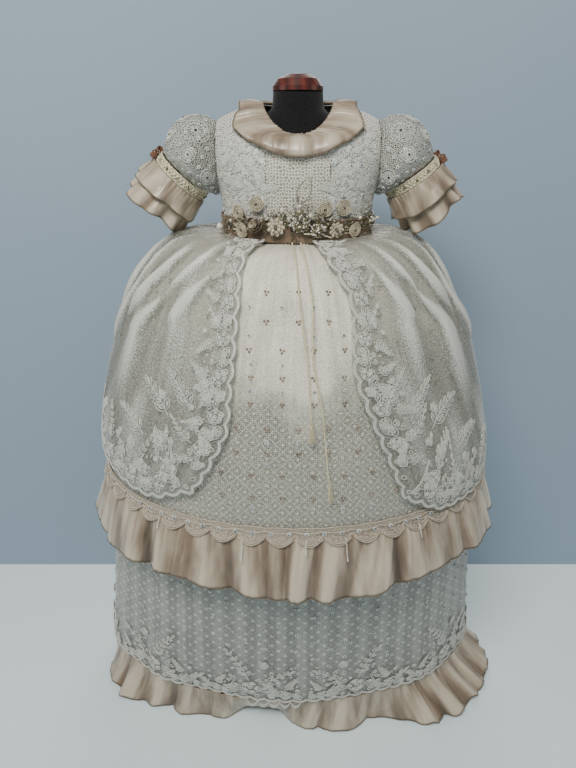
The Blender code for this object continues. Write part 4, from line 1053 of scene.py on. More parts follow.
# angle from the sleeve's top towards the front, place, radius
SUNS = ((0.90, 1.05, 0.0150), (1.42, 2.00, 0.0080), (0.15, 1.60, 0.0110), (0.55, 2.55, 0.0090),
        (2.10, 1.20, 0.0090), (-0.85, 1.50, 0.0120), (-1.80, 1.80, 0.0110))
sleeve_lace = open_lace("open_white_sleeve_lace", "EAEAE0", "57574E", 2.2, 0.0, 0.32)
braid_yellow = white_embroidery("cream_cotton_braid", "EFE9CF", "A89F7C", 1.2)
brown_ribbon = champagne_taffeta("brown_satin_ribbon", "9A7458", "573A28", "7B5642")
for hand, side_name in ((-1, "left"), (1, "right")):
    surface = sleeve_surface(hand)
    places = np.linspace(0, 4, 48)[:, None]
    angles = turn(128)
    grid = surface(angles, places)
    sleeve = sheet(f"sleeve_{side_name}_cloth", grid, sleeve_lace, closed=True, gathered=False)
    window = surface(np.array(-hand * SUNS[0][0]), np.array(SUNS[0][1]))
    apart = np.linalg.norm(grid.reshape(-1, 3) - window, axis=1)
    sleeve.data.attributes.new("open", "FLOAT", "POINT").data.foreach_set(
        "value", np.clip(1.7 - apart / 0.020, 0, 1).astype(np.float32))
    thicken(sleeve, LACE_WALL * 0.6)
    settle(sleeve, "white_lace", f"sleeve_{side_name}")
    paths, seats, eyes, rings_of_sequins = [], [], [], []
    for lean, place, radius in SUNS:
        def on_sleeve(x, y, off, lean=lean, place=place):
            return on_cloth(surface, -hand * lean, place, x, y, off)
        more_paths, more_seats = carried(on_sleeve, sun(radius), CORD * 1.2)
        paths += more_paths
        seats += more_seats
        eyes.append((-hand * lean, place))
    for row_number, place in enumerate((0.5, 1.0, 1.6, 2.2, 2.8, 3.4)):
        for k in range(14):
            rings_of_sequins.append(((k + 0.5 * (row_number % 2)) * 2 * math.pi / 14, place))
    pieces = [corded(f"sleeve_{side_name}_suns", paths, CORD * 1.05, cotton, 3),
              sewn(f"sleeve_{side_name}_loops", PETAL, seats, cotton),
              sewn(f"sleeve_{side_name}_eyes", BEAD, seats_on(surface, eyes, 0.0034, 0.0006),
                   jet_finish),
              sewn(f"sleeve_{side_name}_sequins", SEQUIN,
                   seats_on(surface, rings_of_sequins, 0.0046, 0.0004), sequin_finish),
              sewn(f"sleeve_{side_name}_sequin_eyes", BEAD,
                   seats_on(surface, rings_of_sequins, 0.0016, 0.0010), jet_finish)]
    for piece in pieces:
        settle(piece, "white_lace", f"sleeve_{side_name}")

    band = cuff_surface(hand, lambda a, along: np.full_like(a, BAND_RADIUS))
    run = BAND_START + BAND_LENGTH * np.linspace(0, 1, 6)[:, None]
    band_cloth = thicken(sheet(f"cuff_band_{side_name}_cloth", band(turn(96), run),
                               braid_yellow, closed=True), SATIN_WALL)
    settle(band_cloth, "cream_braid", f"cuff_band_{side_name}")
    t = np.linspace(-math.pi, math.pi, 241)
    middle = BAND_START + BAND_LENGTH / 2
    strands = []
    for phase in (0, 2 * math.pi / 3, 4 * math.pi / 3):
        sway = middle + 0.0036 * np.sin(16 * t + phase)
        strands.append(lifted(band, t, sway, 0.0006 + 0.0005 * np.cos(32 * t + 2 * phase)))
    for edge in (-0.0046, 0.0046):
        strands.append(lifted(band, t, middle + edge + 0 * t, 0.0004 + 0 * t))
    plait = corded(f"cuff_band_{side_name}_plait", strands, 0.0009, braid_yellow, 4)
    stones = [(k * 2 * math.pi / 14 + 0.2, middle) for k in range(14)]
    stones = sewn(f"cuff_band_{side_name}_stones", BEAD, seats_on(band, stones, 0.0036, 0.0014),
                  glass_beads(f"olive_crystal_{side_name}", "8B8A63", "4B4930", 0.1))
    for piece in (plait, stones):
        settle(piece, "cream_braid", f"cuff_band_{side_name}")

    for layer, length, start, end, pleats, depth, flat_size in CUFF_LAYERS:
        first = BAND_START + BAND_LENGTH + SEAM
        share = np.linspace(0, 1, 24)[:, None]
        around = turn(288) + 0.10 * np.sin(5 * turn(288) + hand) * share
        fold = depth * 1.25 * share * uneven(around, pleats, 1.3 + hand)
        fold = fold + 0.0016 * gather_lines(around, 44, 1.3 + hand, share, 2.2)
        fold = fold + 0.0011 * np.sin(7 * around + 5 * share + hand) * share
        wander = 1 + 0.08 * np.sin(3 * around + hand)
        tube = cuff_surface(hand, lambda a, along, s=share, f=fold, lo=start, hi=end:
                            lo + (hi - lo) * s + f)
        satin_ruffle(f"cuff_{layer}_{side_name}", tube(around, first + length * share * wander),
                     f"cuff_ruffle_{layer}_{side_name}", flat_size)

    # The bow: two loops and two tails of ribbon, held by a knot on the band's top.
    tilt = math.radians(CUFF_TILT[hand])
    up = np.array([hand * math.sin(tilt), 0, math.cos(tilt)])
    outward = np.array([hand * math.cos(tilt), 0, -math.sin(tilt)])
    knot = (np.array([hand * SLEEVE[-1][0], 0, SLEEVE[-1][1]]) + outward * middle
            + up * (BAND_RADIUS + BOW_RISE))
    # from the knot: along the band, out along the arm, up off it, ribbon's half width
    for ribbon_name, way, reach, rise, lean in (
            ("loop_front", -1, 0.0135, 0.0045, 0.15), ("loop_back", 1, 0.0130, 0.0050, -0.2),
            ("tail_front", -1, 0.0125, -0.0035, 0.9), ("tail_back", 1, 0.0110, -0.0035, 0.7)):
        t = np.linspace(0, 1, 22)
        if "loop" in ribbon_name:
            along = way * reach * np.sin(math.pi * t) ** 0.8
            height = rise * np.sin(2 * math.pi * t) * 0.9
        else:
            along, height = way * reach * t, rise * t ** 1.5
        line = (knot + np.outer(along, (0, 1, 0)) + np.outer(height, up)
                + np.outer(np.abs(along) * lean, outward))
        half = 0.0042 * (0.35 + 0.65 * np.sin(math.pi * np.clip(np.abs(along) / reach, 0, 1) / 2))
        across = np.linspace(-1, 1, 7)[:, None, None]
        ribbon = line + across * half[None, :, None] * outward
        ribbon_piece = thicken(sheet(f"bow_{side_name}_{ribbon_name}", ribbon, brown_ribbon),
                               0.0005)
        settle(ribbon_piece, "brown_satin", f"sleeve_bow_{side_name}")
    knot_seat = [(knot, up, (0, 1, 0), (0.0062, 0.0080, 0.0062))]
    settle(sewn(f"bow_{side_name}_knot", BEAD, knot_seat, brown_ribbon), "brown_satin",
           f"sleeve_bow_{side_name}")


# -------------------------------------------------------------- upper skirt
# The full upper skirt: ivory satin under figured net. It is gathered hard into
# the waist and falls in soft folds; a fine lattice of tinsel thread, little
# three-bead flowers and sequins cover it, closest towards the hem.

# z, half width left and right, front depth, back depth
UPPER_SKIRT = ((0.7040, 0.0900, 0.0900, 0.0660, 0.0600), (0.7025, 0.1150, 0.1130, 0.0860, 0.0750),
               (0.6970, 0.1460, 0.1370, 0.1060, 0.0870), (0.6850, 0.1690, 0.1580, 0.1220, 0.0950),
               (0.6640, 0.1900, 0.1750, 0.1370, 0.1010), (0.6320, 0.2110, 0.1930, 0.1520, 0.1050),
               (0.5900, 0.2300, 0.2190, 0.1680, 0.1080), (0.5300, 0.2510, 0.2400, 0.1820, 0.1100),
               (0.4550, 0.2650, 0.2580, 0.1910, 0.1110), (0.3860, 0.2700, 0.2660, 0.1950, 0.1120))
WAIST_Z = UPPER_SKIRT[0][0]
TIER_Z = UPPER_SKIRT[-1][0]
# the main folds: angle, width in degrees, depth, and the height where each dies out
UPPER_FOLDS = ((-155, 13, 0.009, 0.42), (-122, 11, 0.008, 0.47), (-97, 9, 0.008, 0.50),
               (-72, 10, 0.011, 0.46), (-48, 9, 0.010, 0.52), (-30, 8, 0.006, 0.60),
               (28, 8, 0.007, 0.58), (47, 9, 0.011, 0.48), (70, 10, 0.010, 0.45),
               (96, 9, 0.008, 0.50), (125, 12, 0.009, 0.46), (158, 12, 0.008, 0.44))
FOLD_TOP_WIDTH, FOLD_SPREAD = 0.45, 0.75


def upper_surface(angle, place):
    """The upper skirt with its folds, at a place counted in rows of its table."""
    level, left, right, front, back = np.moveaxis(row_at(UPPER_SKIRT, place), -1, 0)
    points = oval(angle, left, right, front, back, level)
    degrees = np.degrees(angle)
    depth = 0
    for fold_angle, width, deepest, foot in UPPER_FOLDS:
        down = (WAIST_Z - level) / (WAIST_Z - foot)
        width = width * (FOLD_TOP_WIDTH + FOLD_SPREAD * down)
        apart = (degrees - fold_angle + 180) % 360 - 180
        fade = np.where(down < 1, np.minimum(1, 3 * down) * (1 - down ** 2), 0)
        depth = depth + deepest * fade * np.exp(-(apart / width) ** 2)
    inward = -points * (1, 1, 0)
    inward = inward / np.linalg.norm(inward, axis=-1, keepdims=True)
    return points + inward * np.asarray(depth)[..., None]


# the smaller creases between them: angle, width, height (less than 0 is a trough),
# where each starts and ends, and how far it slants, in degrees from top to end
SMALL_CREASES = (
    (-12, 2.2, 0.0020, 0.702, 0.560, -3), (-6, 1.8, -0.0018, 0.702, 0.600, -1),
    (0, 2.0, 0.0016, 0.702, 0.640, 1), (7, 2.0, 0.0020, 0.702, 0.540, 3),
    (13, 2.4, -0.0018, 0.702, 0.600, 5), (-20, 2.6, 0.0022, 0.700, 0.590, -5),
    (20, 2.6, 0.0022, 0.700, 0.610, 5), (-38, 3.0, 0.0026, 0.700, 0.540, -7),
    (36, 3.0, 0.0026, 0.700, 0.560, 6), (-60, 3.2, 0.0026, 0.700, 0.520, -5),
    (58, 3.2, 0.0026, 0.700, 0.520, 5), (-84, 3.2, 0.0024, 0.700, 0.550, -3),
    (84, 3.2, 0.0024, 0.700, 0.540, 3), (-110, 3.2, 0.0026, 0.700, 0.540, 3),
    (112, 3.2, 0.0024, 0.700, 0.560, -3), (-138, 3.4, 0.0026, 0.700, 0.530, 4),
    (142, 3.4, 0.0026, 0.700, 0.520, -4), (172, 3.2, 0.0024, 0.700, 0.560, 3),
    (-170, 3.0, 0.0022, 0.700, 0.540, -3), (-15, 3.5, 0.0016, 0.520, 0.400, -2),
    (10, 4.0, 0.0018, 0.500, 0.395, 3), (-45, 4.0, 0.0022, 0.520, 0.400, -3),
    (42, 4.0, 0.0022, 0.510, 0.395, 4), (110, 4.0, 0.0022, 0.500, 0.400, 4),
    (-120, 4.0, 0.0022, 0.510, 0.400, -4), (160, 4.0, 0.0020, 0.520, 0.400, 3))


def crease_heights(creases, angle, level):
    """How far the small creases lift the cloth."""
    degrees, height = np.degrees(angle), 0
    for middle, width, rise, top, foot, slant in creases:
        down = (top - level) / (top - foot)
        apart = (degrees - middle - slant * down + 180) % 360 - 180
        fade = np.where((down > 0) & (down < 1), np.sin(math.pi * np.clip(down, 0, 1)) ** 0.6, 0)
        grown_width = width * (0.6 + 0.8 * np.clip(down, 0, 1))
        height = height + rise * fade * np.exp(-(apart / grown_width) ** 2)
    return height


def upper_level(place):
    return row_at(UPPER_SKIRT, place)[..., 0]


def upper_cloth(angle, place):
    """The upper skirt's own cloth, with its small creases and its waist gathers."""
    share = (WAIST_Z - upper_level(place)) / (WAIST_Z - TIER_Z)
    lift = crease_heights(SMALL_CREASES, angle, upper_level(place))
    lift = lift * 1.25 - 0.0010 + 0.0030 * gather_lines(angle, 150, 0.6, share, 5.0)
    return lifted(upper_surface, angle, place, np.minimum(lift, 0.0032))


def figured_net(name, satin, satin_shade, thread, lattice_mm, clear_above, dense_below,
                dot="E9EAE4", gloss=0.34):
    """Figured net over satin: the satin shines through a fine net, and over them runs a lattice of thick
    tinsel thread with a knot at each crossing, closer lower down. The satin itself is painted darker
    with the same mask, lower down and towards the sides, as shade."""
    made, tree, shader = new_material(name)
    uv = node(tree, "ShaderNodeUVMap", uv_map="cloth")
    place = node(tree, "ShaderNodeTexCoord").outputs["Object"]
    level = node(tree, "ShaderNodeSeparateXYZ", {0: place}).outputs["Z"]
    net_mm = 2.4
    net = node(tree, "ShaderNodeTexVoronoi",
               {"Vector": uv, "Scale": 1000 / net_mm, "Randomness": 0.7},
               voronoi_dimensions="2D", feature="DISTANCE_TO_EDGE")
    diagonal = node(tree, "ShaderNodeMapping",
                    {"Vector": uv, "Rotation": (0, 0, math.radians(45))})
    lattice = node(tree, "ShaderNodeTexVoronoi",
                   {"Vector": diagonal, "Scale": 1000 / lattice_mm, "Randomness": 0.10},
                   voronoi_dimensions="2D", feature="DISTANCE_TO_EDGE")
    centres = node(tree, "ShaderNodeTexVoronoi",
                   {"Vector": diagonal, "Scale": 1000 / lattice_mm, "Randomness": 0.10},
                   voronoi_dimensions="2D")
    glint = node(tree, "ShaderNodeTexVoronoi", {"Vector": uv, "Scale": 240.0},
                 voronoi_dimensions="2D")
    cloud = node(tree, "ShaderNodeTexNoise", {"Vector": place, "Scale": 13.0, "Detail": 4.0,
                                              "Roughness": 0.6})
    sideways = node(tree, "ShaderNodeMath",
                    {0: node(tree, "ShaderNodeSeparateXYZ", {0: place}).outputs["X"]},
                    operation="ABSOLUTE")
    # a height that counts the sides as lower, which brings both the lattice and the painted shade higher
    # there
    lower = node(tree, "ShaderNodeMath", {0: sideways, 1: -0.55}, operation="MULTIPLY_ADD")
    plug(tree, lower, {2: level})
    wandering = node(tree, "ShaderNodeMath", {0: cloud, 1: 0.16}, operation="MULTIPLY_ADD")
    plug(tree, wandering, {2: lower})
    grain = node(tree, "ShaderNodeTexNoise", {"Vector": place, "Scale": 650.0, "Detail": 3.0,
                                              "Roughness": 0.7})
    worked = node(tree, "ShaderNodeMapRange",
                  {0: wandering, 1: clear_above + 0.08, 2: dense_below + 0.08})
    fine = node(tree, "ShaderNodeMapRange", {0: net.outputs["Distance"], 1: 0.05, 2: 0.22,
                                             3: 1.0, 4: 0.0})
    lines = node(tree, "ShaderNodeMapRange", {0: lattice.outputs["Distance"], 1: 0.018,
                                              2: 0.065, 3: 0.62, 4: 0.0})
    knots = node(tree, "ShaderNodeMapRange", {0: centres.outputs["Distance"], 1: 0.10,
                                              2: 0.16, 3: 1.0, 4: 0.0})
    sparks = node(tree, "ShaderNodeMapRange", {0: glint.outputs["Distance"], 1: 0.10,
                                               2: 0.20, 3: 1.0, 4: 0.0})
    shown = node(tree, "ShaderNodeMath", {0: lines, 1: knots}, operation="MAXIMUM")
    shown = node(tree, "ShaderNodeMath", {0: shown, 1: worked}, operation="MULTIPLY")
    broken = node(tree, "ShaderNodeMapRange", {0: grain, 1: 0.36, 2: 0.58, 3: 0.25, 4: 1.1})
    shown = node(tree, "ShaderNodeMath", {0: shown, 1: broken}, operation="MULTIPLY")
    fine_amount = node(tree, "ShaderNodeMapRange", {0: worked, 3: 0.30, 4: 0.62})
    fine_shown = node(tree, "ShaderNodeMath", {0: fine, 1: fine_amount}, operation="MULTIPLY")
    # painted shade: the satin turns from its own colour to satin_shade lower down and at the sides
    satin_tone = node(tree, "ShaderNodeMix",
                      {0: worked, 6: linear(satin), 7: linear(satin_shade)},
                      data_type="RGBA").outputs[2]
    lengthwise = node(tree, "ShaderNodeMapping", {"Vector": uv, "Scale": (75.0, 5.0, 1.0)})
    slub = node(tree, "ShaderNodeTexNoise", {"Vector": lengthwise, "Scale": 1.0, "Detail": 5.0,
                                             "Roughness": 0.7})
    mottle = node(tree, "ShaderNodeMath", {0: slub, 1: cloud}, operation="ADD")
    blotch = node(tree, "ShaderNodeMapRange", {0: mottle, 1: 0.75, 2: 1.25, 3: 0.66, 4: 1.16})
    gritty = node(tree, "ShaderNodeMapRange", {0: grain, 1: 0.32, 2: 0.68, 3: 0.62, 4: 1.30})
    blotch = node(tree, "ShaderNodeMath", {0: blotch, 1: gritty}, operation="MULTIPLY")
    satin_tone = node(tree, "ShaderNodeVectorMath", {0: satin_tone, 1: blotch},
                      operation="MULTIPLY")
    netted = node(tree, "ShaderNodeMix", {0: fine_shown, 6: satin_tone, 7: linear(thread)},
                  data_type="RGBA").outputs[2]
    laced = node(tree, "ShaderNodeMix", {0: shown, 6: netted, 7: linear(dot)},
                 data_type="RGBA").outputs[2]
    spark_amount = node(tree, "ShaderNodeMath", {0: sparks, 1: 0.55}, operation="MULTIPLY")
    laced = node(tree, "ShaderNodeMix", {0: spark_amount, 6: laced, 7: linear("FFFFFF")},
                 data_type="RGBA").outputs[2]
    raised = node(tree, "ShaderNodeMath", {0: shown, 1: fine_shown}, operation="MAXIMUM")
    relief = node(tree, "ShaderNodeBump", {"Height": raised, "Strength": 0.75,
                                           "Distance": 0.0009})
    rough = node(tree, "ShaderNodeMapRange", {0: raised, 3: gloss, 4: 0.72})
    plug(tree, shader, {"Base Color": laced, "Normal": relief, "Roughness": rough,
                        "Sheen Weight": 0.25, "Sheen Roughness": 0.35})
    return made


upper_net = figured_net("figured_net_on_ivory_satin", "ECE9D6", "7E7B69", "E6E5D9", 12.5,
                        0.56, 0.50)
SIDE_GAP = 0.0009 / 2 / 0.158
places = np.concatenate([np.linspace(0, 2, 16)[:-1], np.linspace(2, len(UPPER_SKIRT) - 1, 52)])
for half, middle in (("front", 0.0), ("back", math.pi)):
    angles = np.linspace(middle - math.pi / 2 + SIDE_GAP, middle + math.pi / 2 - SIDE_GAP, 150)
    skirt = sheet(f"upper_skirt_{half}_cloth", upper_cloth(angles, places[:, None]), upper_net,
                  gathered=True)
    thicken(skirt, LACE_WALL)
    settle(skirt, "ivory_lace", f"upper_skirt_{half}")


def rows_of_spots(table, first_z, last_z, pitch, row_pitch, radius, shift=0.5):
    """Places in level rows round a skirt, each row shifted from the one above it."""
    spots = []
    for number, level in enumerate(np.arange(first_z, last_z, -row_pitch)):
        place = place_at_height(table, level)
        row = row_at(table, place)
        count = max(3, int(math.pi * (row[1:3].mean() + row[3:5].mean()) * radius / pitch))
        for k in range(count):
            spots.append(((k + shift * (number % 2)) * 2 * math.pi / count - math.pi, place))
    return spots


# Rows of three-bead flowers, with sequins between the rows.
flowers = rows_of_spots(UPPER_SKIRT, 0.665, 0.410, 0.0275, 0.0285, 1.0)
flower_seats = []
for u, v in flowers:
    tone_shift = picks.uniform(-0.2, 0.2)
    for a in (0.5, 2.6, 4.7):
        spot = on_cloth(upper_cloth, u, v, np.array([0.0021 * math.cos(a + tone_shift)]),
                        np.array([0.0021 * math.sin(a + tone_shift)]), 0.0005)[0]
        facing = normal_at(upper_surface, u, v)
        flower_seats.append((spot, facing, (0, 0, 1), (0.0030, 0.0030, 0.0022)))
settle(sewn("upper_skirt_bead_flowers", BEAD, flower_seats, blush_finish), "ivory_lace",
       "upper_skirt_front")
between = rows_of_spots(UPPER_SKIRT, 0.651, 0.400, 0.0275, 0.0285, 1.0, 0.5)
between = [spot for spot in between if picks.random() < 0.62]
settle(sewn("upper_skirt_sequins", SEQUIN, seats_on(upper_cloth, between, 0.0048, 0.0004),
            sequin_finish), "ivory_lace", "upper_skirt_front")
settle(sewn("upper_skirt_sequin_eyes", BEAD, seats_on(upper_cloth, between, 0.0019, 0.0011),
            jet_finish), "ivory_lace", "upper_skirt_front")


# -------------------------------------------------------------- overskirt
# Two panels of sheer white tulle with a slight glitter, open at the front, which
# stand off the skirt in long ridges, their tops painted lighter as highlight.
# Their edges carry a wide corded border: scallops in two rows of cord, roses,
# leaves and fern sprays.

# height, and the front edge's angle on the left and on the right
OVERSKIRT_EDGE = ((0.7060, -22, 9), (0.6500, -18, 17), (0.5900, -17, 15), (0.5300, -17, 19),
                  (0.4700, -22, 24), (0.4200, -28, 28), (0.3800, -30, 30))
# share of the way to the centre back, and the hem's height on the left and right
OVERSKIRT_HEM = ((0.00, 0.436, 0.426), (0.09, 0.412, 0.392), (0.20, 0.420, 0.390),
                 (0.38, 0.446, 0.392), (0.65, 0.446, 0.415), (1.00, 0.440, 0.430))
OVERSKIRT_OFF = (0.0042, 0.0072)  # its outer face off the skirt, at the top and the hem
OVERSKIRT_TOP = 0.12  # where it starts, counted in rows of the upper skirt
BACK_SEAM = 0.004
# long ridges of the tulle: angle, width, height, top, end, slant
TULLE_RIDGES = (
    (27, 1.8, 0.0040, 0.702, 0.620, 18), (36, 2.0, 0.0065, 0.703, 0.600, 26),
    (43, 1.8, -0.0020, 0.703, 0.610, 26), (50, 2.4, 0.0080, 0.704, 0.585, 26),
    (58, 2.0, -0.0020, 0.703, 0.590, 24), (66, 2.6, 0.0080, 0.705, 0.570, 20),
    (75, 2.2, -0.0020, 0.704, 0.580, 16), (83, 2.8, 0.0075, 0.705, 0.550, 10),
    (96, 3.0, 0.0070, 0.705, 0.540, 5), (110, 3.2, 0.0065, 0.705, 0.530, 3),
    (126, 3.2, 0.0060, 0.705, 0.510, -4), (142, 3.2, 0.0060, 0.705, 0.530, 3),
    (158, 3.0, 0.0055, 0.705, 0.540, -3), (46, 6.0, 0.0028, 0.560, 0.400, 4),
    (70, 6.0, 0.0028, 0.550, 0.400, -4), (100, 6.0, 0.0026, 0.540, 0.400, 4),
    (128, 6.0, 0.0026, 0.550, 0.400, -4), (155, 6.0, 0.0026, 0.540, 0.400, 4))


def smooth_between(table, value):
    """A table's other columns at values of its first one."""
    table = np.asarray(table, float)
    order = slice(None, None, -1) if table[0, 0] > table[-1, 0] else slice(None)
    places = np.interp(value, table[order, 0], np.arange(len(table))[order])
    return row_at(table, places)


def overskirt_surface(hand):
    """The panel at a share of the way from its front edge and a share of the way down."""
    column = 1 if hand < 0 else 2

    def surface(share, down):
        share, down = np.broadcast_arrays(share, down)
        hem = smooth_between(OVERSKIRT_HEM, np.clip(share, 0, 1))[..., column]
        place = OVERSKIRT_TOP + (place_at_height(UPPER_SKIRT, hem) - OVERSKIRT_TOP) * down
        level = upper_level(place)
        edge = np.radians(smooth_between(OVERSKIRT_EDGE, level)[..., column])
        angle = edge + (hand * (math.pi - BACK_SEAM / 2) - edge) * share
        stand = OVERSKIRT_OFF[0] + (OVERSKIRT_OFF[1] - OVERSKIRT_OFF[0]) * down
        ridges = crease_heights(TULLE_RIDGES, hand * angle, level)
        puff = 0.0050 * np.exp(-((place - 1.9) / 1.1) ** 2) * np.abs(np.sin(angle))
        away = np.clip(share / 0.06, 0, 1)
        gathers = 0.0012 * gather_lines(angle, 170, 1.9, (WAIST_Z - level) / 0.32, 6.0)
        return lifted(upper_surface, angle, place, stand + (ridges + puff) * away + gathers)

    return surface


def glitter_tulle():
    """Stiff sheer nylon net: mostly clear, with fine threads and specks of glitter. Along long
    lengthwise streaks and on the tops of its ridges it is painted lighter, as sheen and highlight, and
    made more opaque there too, as folded net is, with a random grain."""
    made, tree, shader = new_material("white_glitter_tulle")
    uv = node(tree, "ShaderNodeUVMap", uv_map="cloth")
    net_mm = 2.0  # the real net is finer, and would not show
    net = node(tree, "ShaderNodeTexVoronoi",
               {"Vector": uv, "Scale": 1000 / net_mm, "Randomness": 0.8},
               voronoi_dimensions="2D", feature="DISTANCE_TO_EDGE")
    long_way = node(tree, "ShaderNodeMapping", {"Vector": uv, "Scale": (75.0, 8.0, 1.0)})
    silk = node(tree, "ShaderNodeTexNoise", {"Vector": long_way, "Scale": 1.0, "Detail": 4.0,
                                             "Roughness": 0.65})
    speck = node(tree, "ShaderNodeTexVoronoi", {"Vector": uv, "Scale": 150.0},
                 voronoi_dimensions="2D")
    threads = node(tree, "ShaderNodeMapRange", {0: net.outputs["Distance"], 1: 0.04, 2: 0.18,
                                                3: 0.46, 4: 0.10})
    # the ridge tops, which feed the painted highlight below
    crest_shading = node(tree, "ShaderNodeAttribute", attribute_name="crest_shading").outputs["Fac"]
    grain = node(tree, "ShaderNodeTexNoise", {"Vector": uv, "Scale": 520.0, "Detail": 3.0})
    grainy = node(tree, "ShaderNodeMapRange", {0: grain, 1: 0.3, 2: 0.7, 3: -0.42, 4: 0.42})
    shine = node(tree, "ShaderNodeMath", {0: silk, 1: crest_shading}, operation="ADD")
    shine = node(tree, "ShaderNodeMath", {0: shine, 1: grainy}, operation="ADD")
    streak = node(tree, "ShaderNodeMapRange", {0: shine, 1: 0.25, 2: 1.25, 3: -0.12, 4: 0.66})
    specks = node(tree, "ShaderNodeMapRange", {0: speck.outputs["Distance"], 1: 0.05, 2: 0.13,
                                               3: 0.6, 4: 0.0})
    milky = node(tree, "ShaderNodeMath", {0: threads, 1: streak}, operation="ADD")
    alpha = node(tree, "ShaderNodeMath", {0: milky, 1: specks}, operation="ADD",
                 use_clamp=True)
    # painted sheen and highlight: grey where the shine is low, near white along the streaks and ridge
    # tops
    tone = node(tree, "ShaderNodeMix", {0: streak, 6: linear("9C9C91"), 7: linear("FBFBF5")},
                data_type="RGBA").outputs[2]
    relief = node(tree, "ShaderNodeBump", {"Height": silk, "Strength": 0.35,
                                           "Distance": 0.003})
    plug(tree, shader, {"Base Color": tone, "Alpha": alpha, "Normal": relief,
                        "Roughness": 0.34, "Sheen Weight": 0.3, "Sheen Roughness": 0.3})
    return made


def border_map(hand):
    """Maps metres along the panel's edges, from the waist round the corner to the back,
    and metres in from them, to points of the cloth; it returns the length too."""
    surface = overskirt_surface(hand)
    run = np.linspace(0, 1, 160)
    share = np.concatenate([0 * run[:-1], run])
    down = np.concatenate([run[:-1], 0 * run + 1])
    points = surface(share, down)
    length = np.pad(np.cumsum(np.linalg.norm(np.diff(points, axis=0), axis=1)), (1, 0))
    step = 1e-3
    by_share = (surface(share + step, down) - surface(share - step, down)) / (2 * step)
    by_down = (surface(share, down + step) - surface(share, down - step)) / (2 * step)
    along = np.gradient(points, length, axis=0)
    normal = np.cross(by_down, by_share) * hand
    inward = np.cross(normal, along)
    inside = by_share * 0.2 - by_down * 0.5
    inward *= np.sign((inward * inside).sum(1))[:, None]
    even = np.linspace(0, length[-1], 500)
    inward = np.stack([np.interp(even, length, column) for column in inward.T], -1)
    blur = np.hanning(31) / np.hanning(31).sum()
    inward = np.stack([np.convolve(np.pad(column, 15, "edge"), blur, "valid")
                       for column in inward.T], -1)
    inward /= np.linalg.norm(inward, axis=1)[:, None]
    share, down = np.interp(even, length, share), np.interp(even, length, down)
    by_share = (surface(share + step, down) - surface(share - step, down)) / (2 * step)
    by_down = (surface(share, down + step) - surface(share, down - step)) / (2 * step)
    a, b, c = ((p * q).sum(1) for p, q in ((by_share, by_share), (by_share, by_down),
                                           (by_down, by_down)))
    p, q = (by_share * inward).sum(1), (by_down * inward).sum(1)
    solved = a * c - b * b
    share_in, down_in = (c * p - b * q) / solved, (a * q - b * p) / solved

    def place(x, y, off):
        at = [np.interp(x, even, column) for column in (share, down, share_in, down_in)]
        to_share = np.clip(at[0] + y * at[2], 0.0005, 0.9995)
        to_down = np.clip(at[1] + y * at[3], 0.0005, 0.9995)
        facing = normal_at(surface, to_share, to_down) * hand
        return surface(to_share, to_down) + facing * np.asarray(off)[..., None]

    return place, length[-1], length[len(run) - 1]


def spray(size, tall):
    """One repeat of the border, centred on x 0: a rose with leaves, a smaller rose
    beside it, a fern that climbs in from the edge, buds and curls."""
    parts = [moved(rose(0.0098), 0, 0.019), moved(rose(0.0062, turned=0.5), 0.0235, 0.0150),
             moved(fern(0.030 * tall, 5, 0.25, 0.0095), -0.002, 0.031, math.pi / 2 + 0.25),
             moved(fern(0.024 * tall, 4, -0.30, 0.0085), 0.015, 0.024, math.pi / 2 - 0.55),
             moved(leaf(0.0120, 0.0060), 0.010, 0.017, 0.35),
             moved(leaf(0.0120, 0.0060), -0.010, 0.018, math.pi - 0.35),
             moved(leaf(0.0095, 0.0050), -0.014, 0.012, math.pi + 0.25),
             moved(rose(0.0040), -0.0215, 0.0165), moved(curl(0.0034), -0.017, 0.028, 0.8),
             moved(curl(0.0030), 0.022, 0.028, 2.0),
             moved(rose(0.0034 * tall), 0.006 + 0.006 * tall, 0.034 + 0.016 * tall)]
    for k in range(16):
        ring = 0.0013 + 0.0009 * (k % 3) / 2
        t = np.linspace(0, 2 * math.pi, 9)
        x, y = 0.024 * math.sin(2.3 * k + 1), 0.010 + 0.0021 * k * (0.6 + 0.4 * tall)
        parts.append(([np.stack([x + ring * np.cos(t), y + ring * np.sin(t)], -1)], []))
    return moved(together(*parts), size=size)


def scallops(length, pitch, deep):
    """The scalloped outline of a lace edge, as x and y, its lobes out towards y 0."""
    x = np.linspace(0, length, int(length / pitch * 14))
    return x, deep * (1 - np.abs(np.sin(math.pi * x / pitch)) ** 0.8)


def lace_border(name, slot_name, cad_node, place, length, sprays, pitch, deep):
    """Couches a border on a cloth: two scalloped cords, the net band between them, a
    row of dots, and the sprays."""
    x, y = scallops(length, pitch, deep)
    paths = [place(x, y + inset, CORD) for inset in (0.0004, 0.0028)]
    band = np.stack([place(x, y + inset, 0.0004 + 0 * x)
                     for inset in np.linspace(0.0029, 0.0004, 3)])
    cords, petals = [], []
    for x_middle, size, tall, flip in sprays:
        drawing = spray(size, tall)
        if flip < 0:
            drawing = ([c * (-1, 1) for c in drawing[0]],
                       [(-px, py, math.pi - way, long, wide) for px, py, way, long, wide
                        in drawing[1]])
        more_cords, more_petals = moved(drawing, x_middle)
        cords += more_cords
        petals += more_petals
    for x_dot in np.arange(pitch / 2, length, pitch):
        cords.append(np.stack([x_dot + 0.0030 * np.cos(np.linspace(0, 2 * math.pi, 11)),
                               deep * 0.4 + 0.0085
                               + 0.0030 * np.sin(np.linspace(0, 2 * math.pi, 11))], -1))
    more_paths, seats = carried(place, (cords, petals), CORD)
    made = [corded(name + "_cords", list(paths) + list(more_paths), CORD * 1.25, cotton, 3),
            sewn(name + "_petals", PETAL, seats, cotton),
            thicken(sheet(name + "_band", band, cotton), 0.0004)]
    for piece in made:
        settle(piece, slot_name, cad_node)
    return made


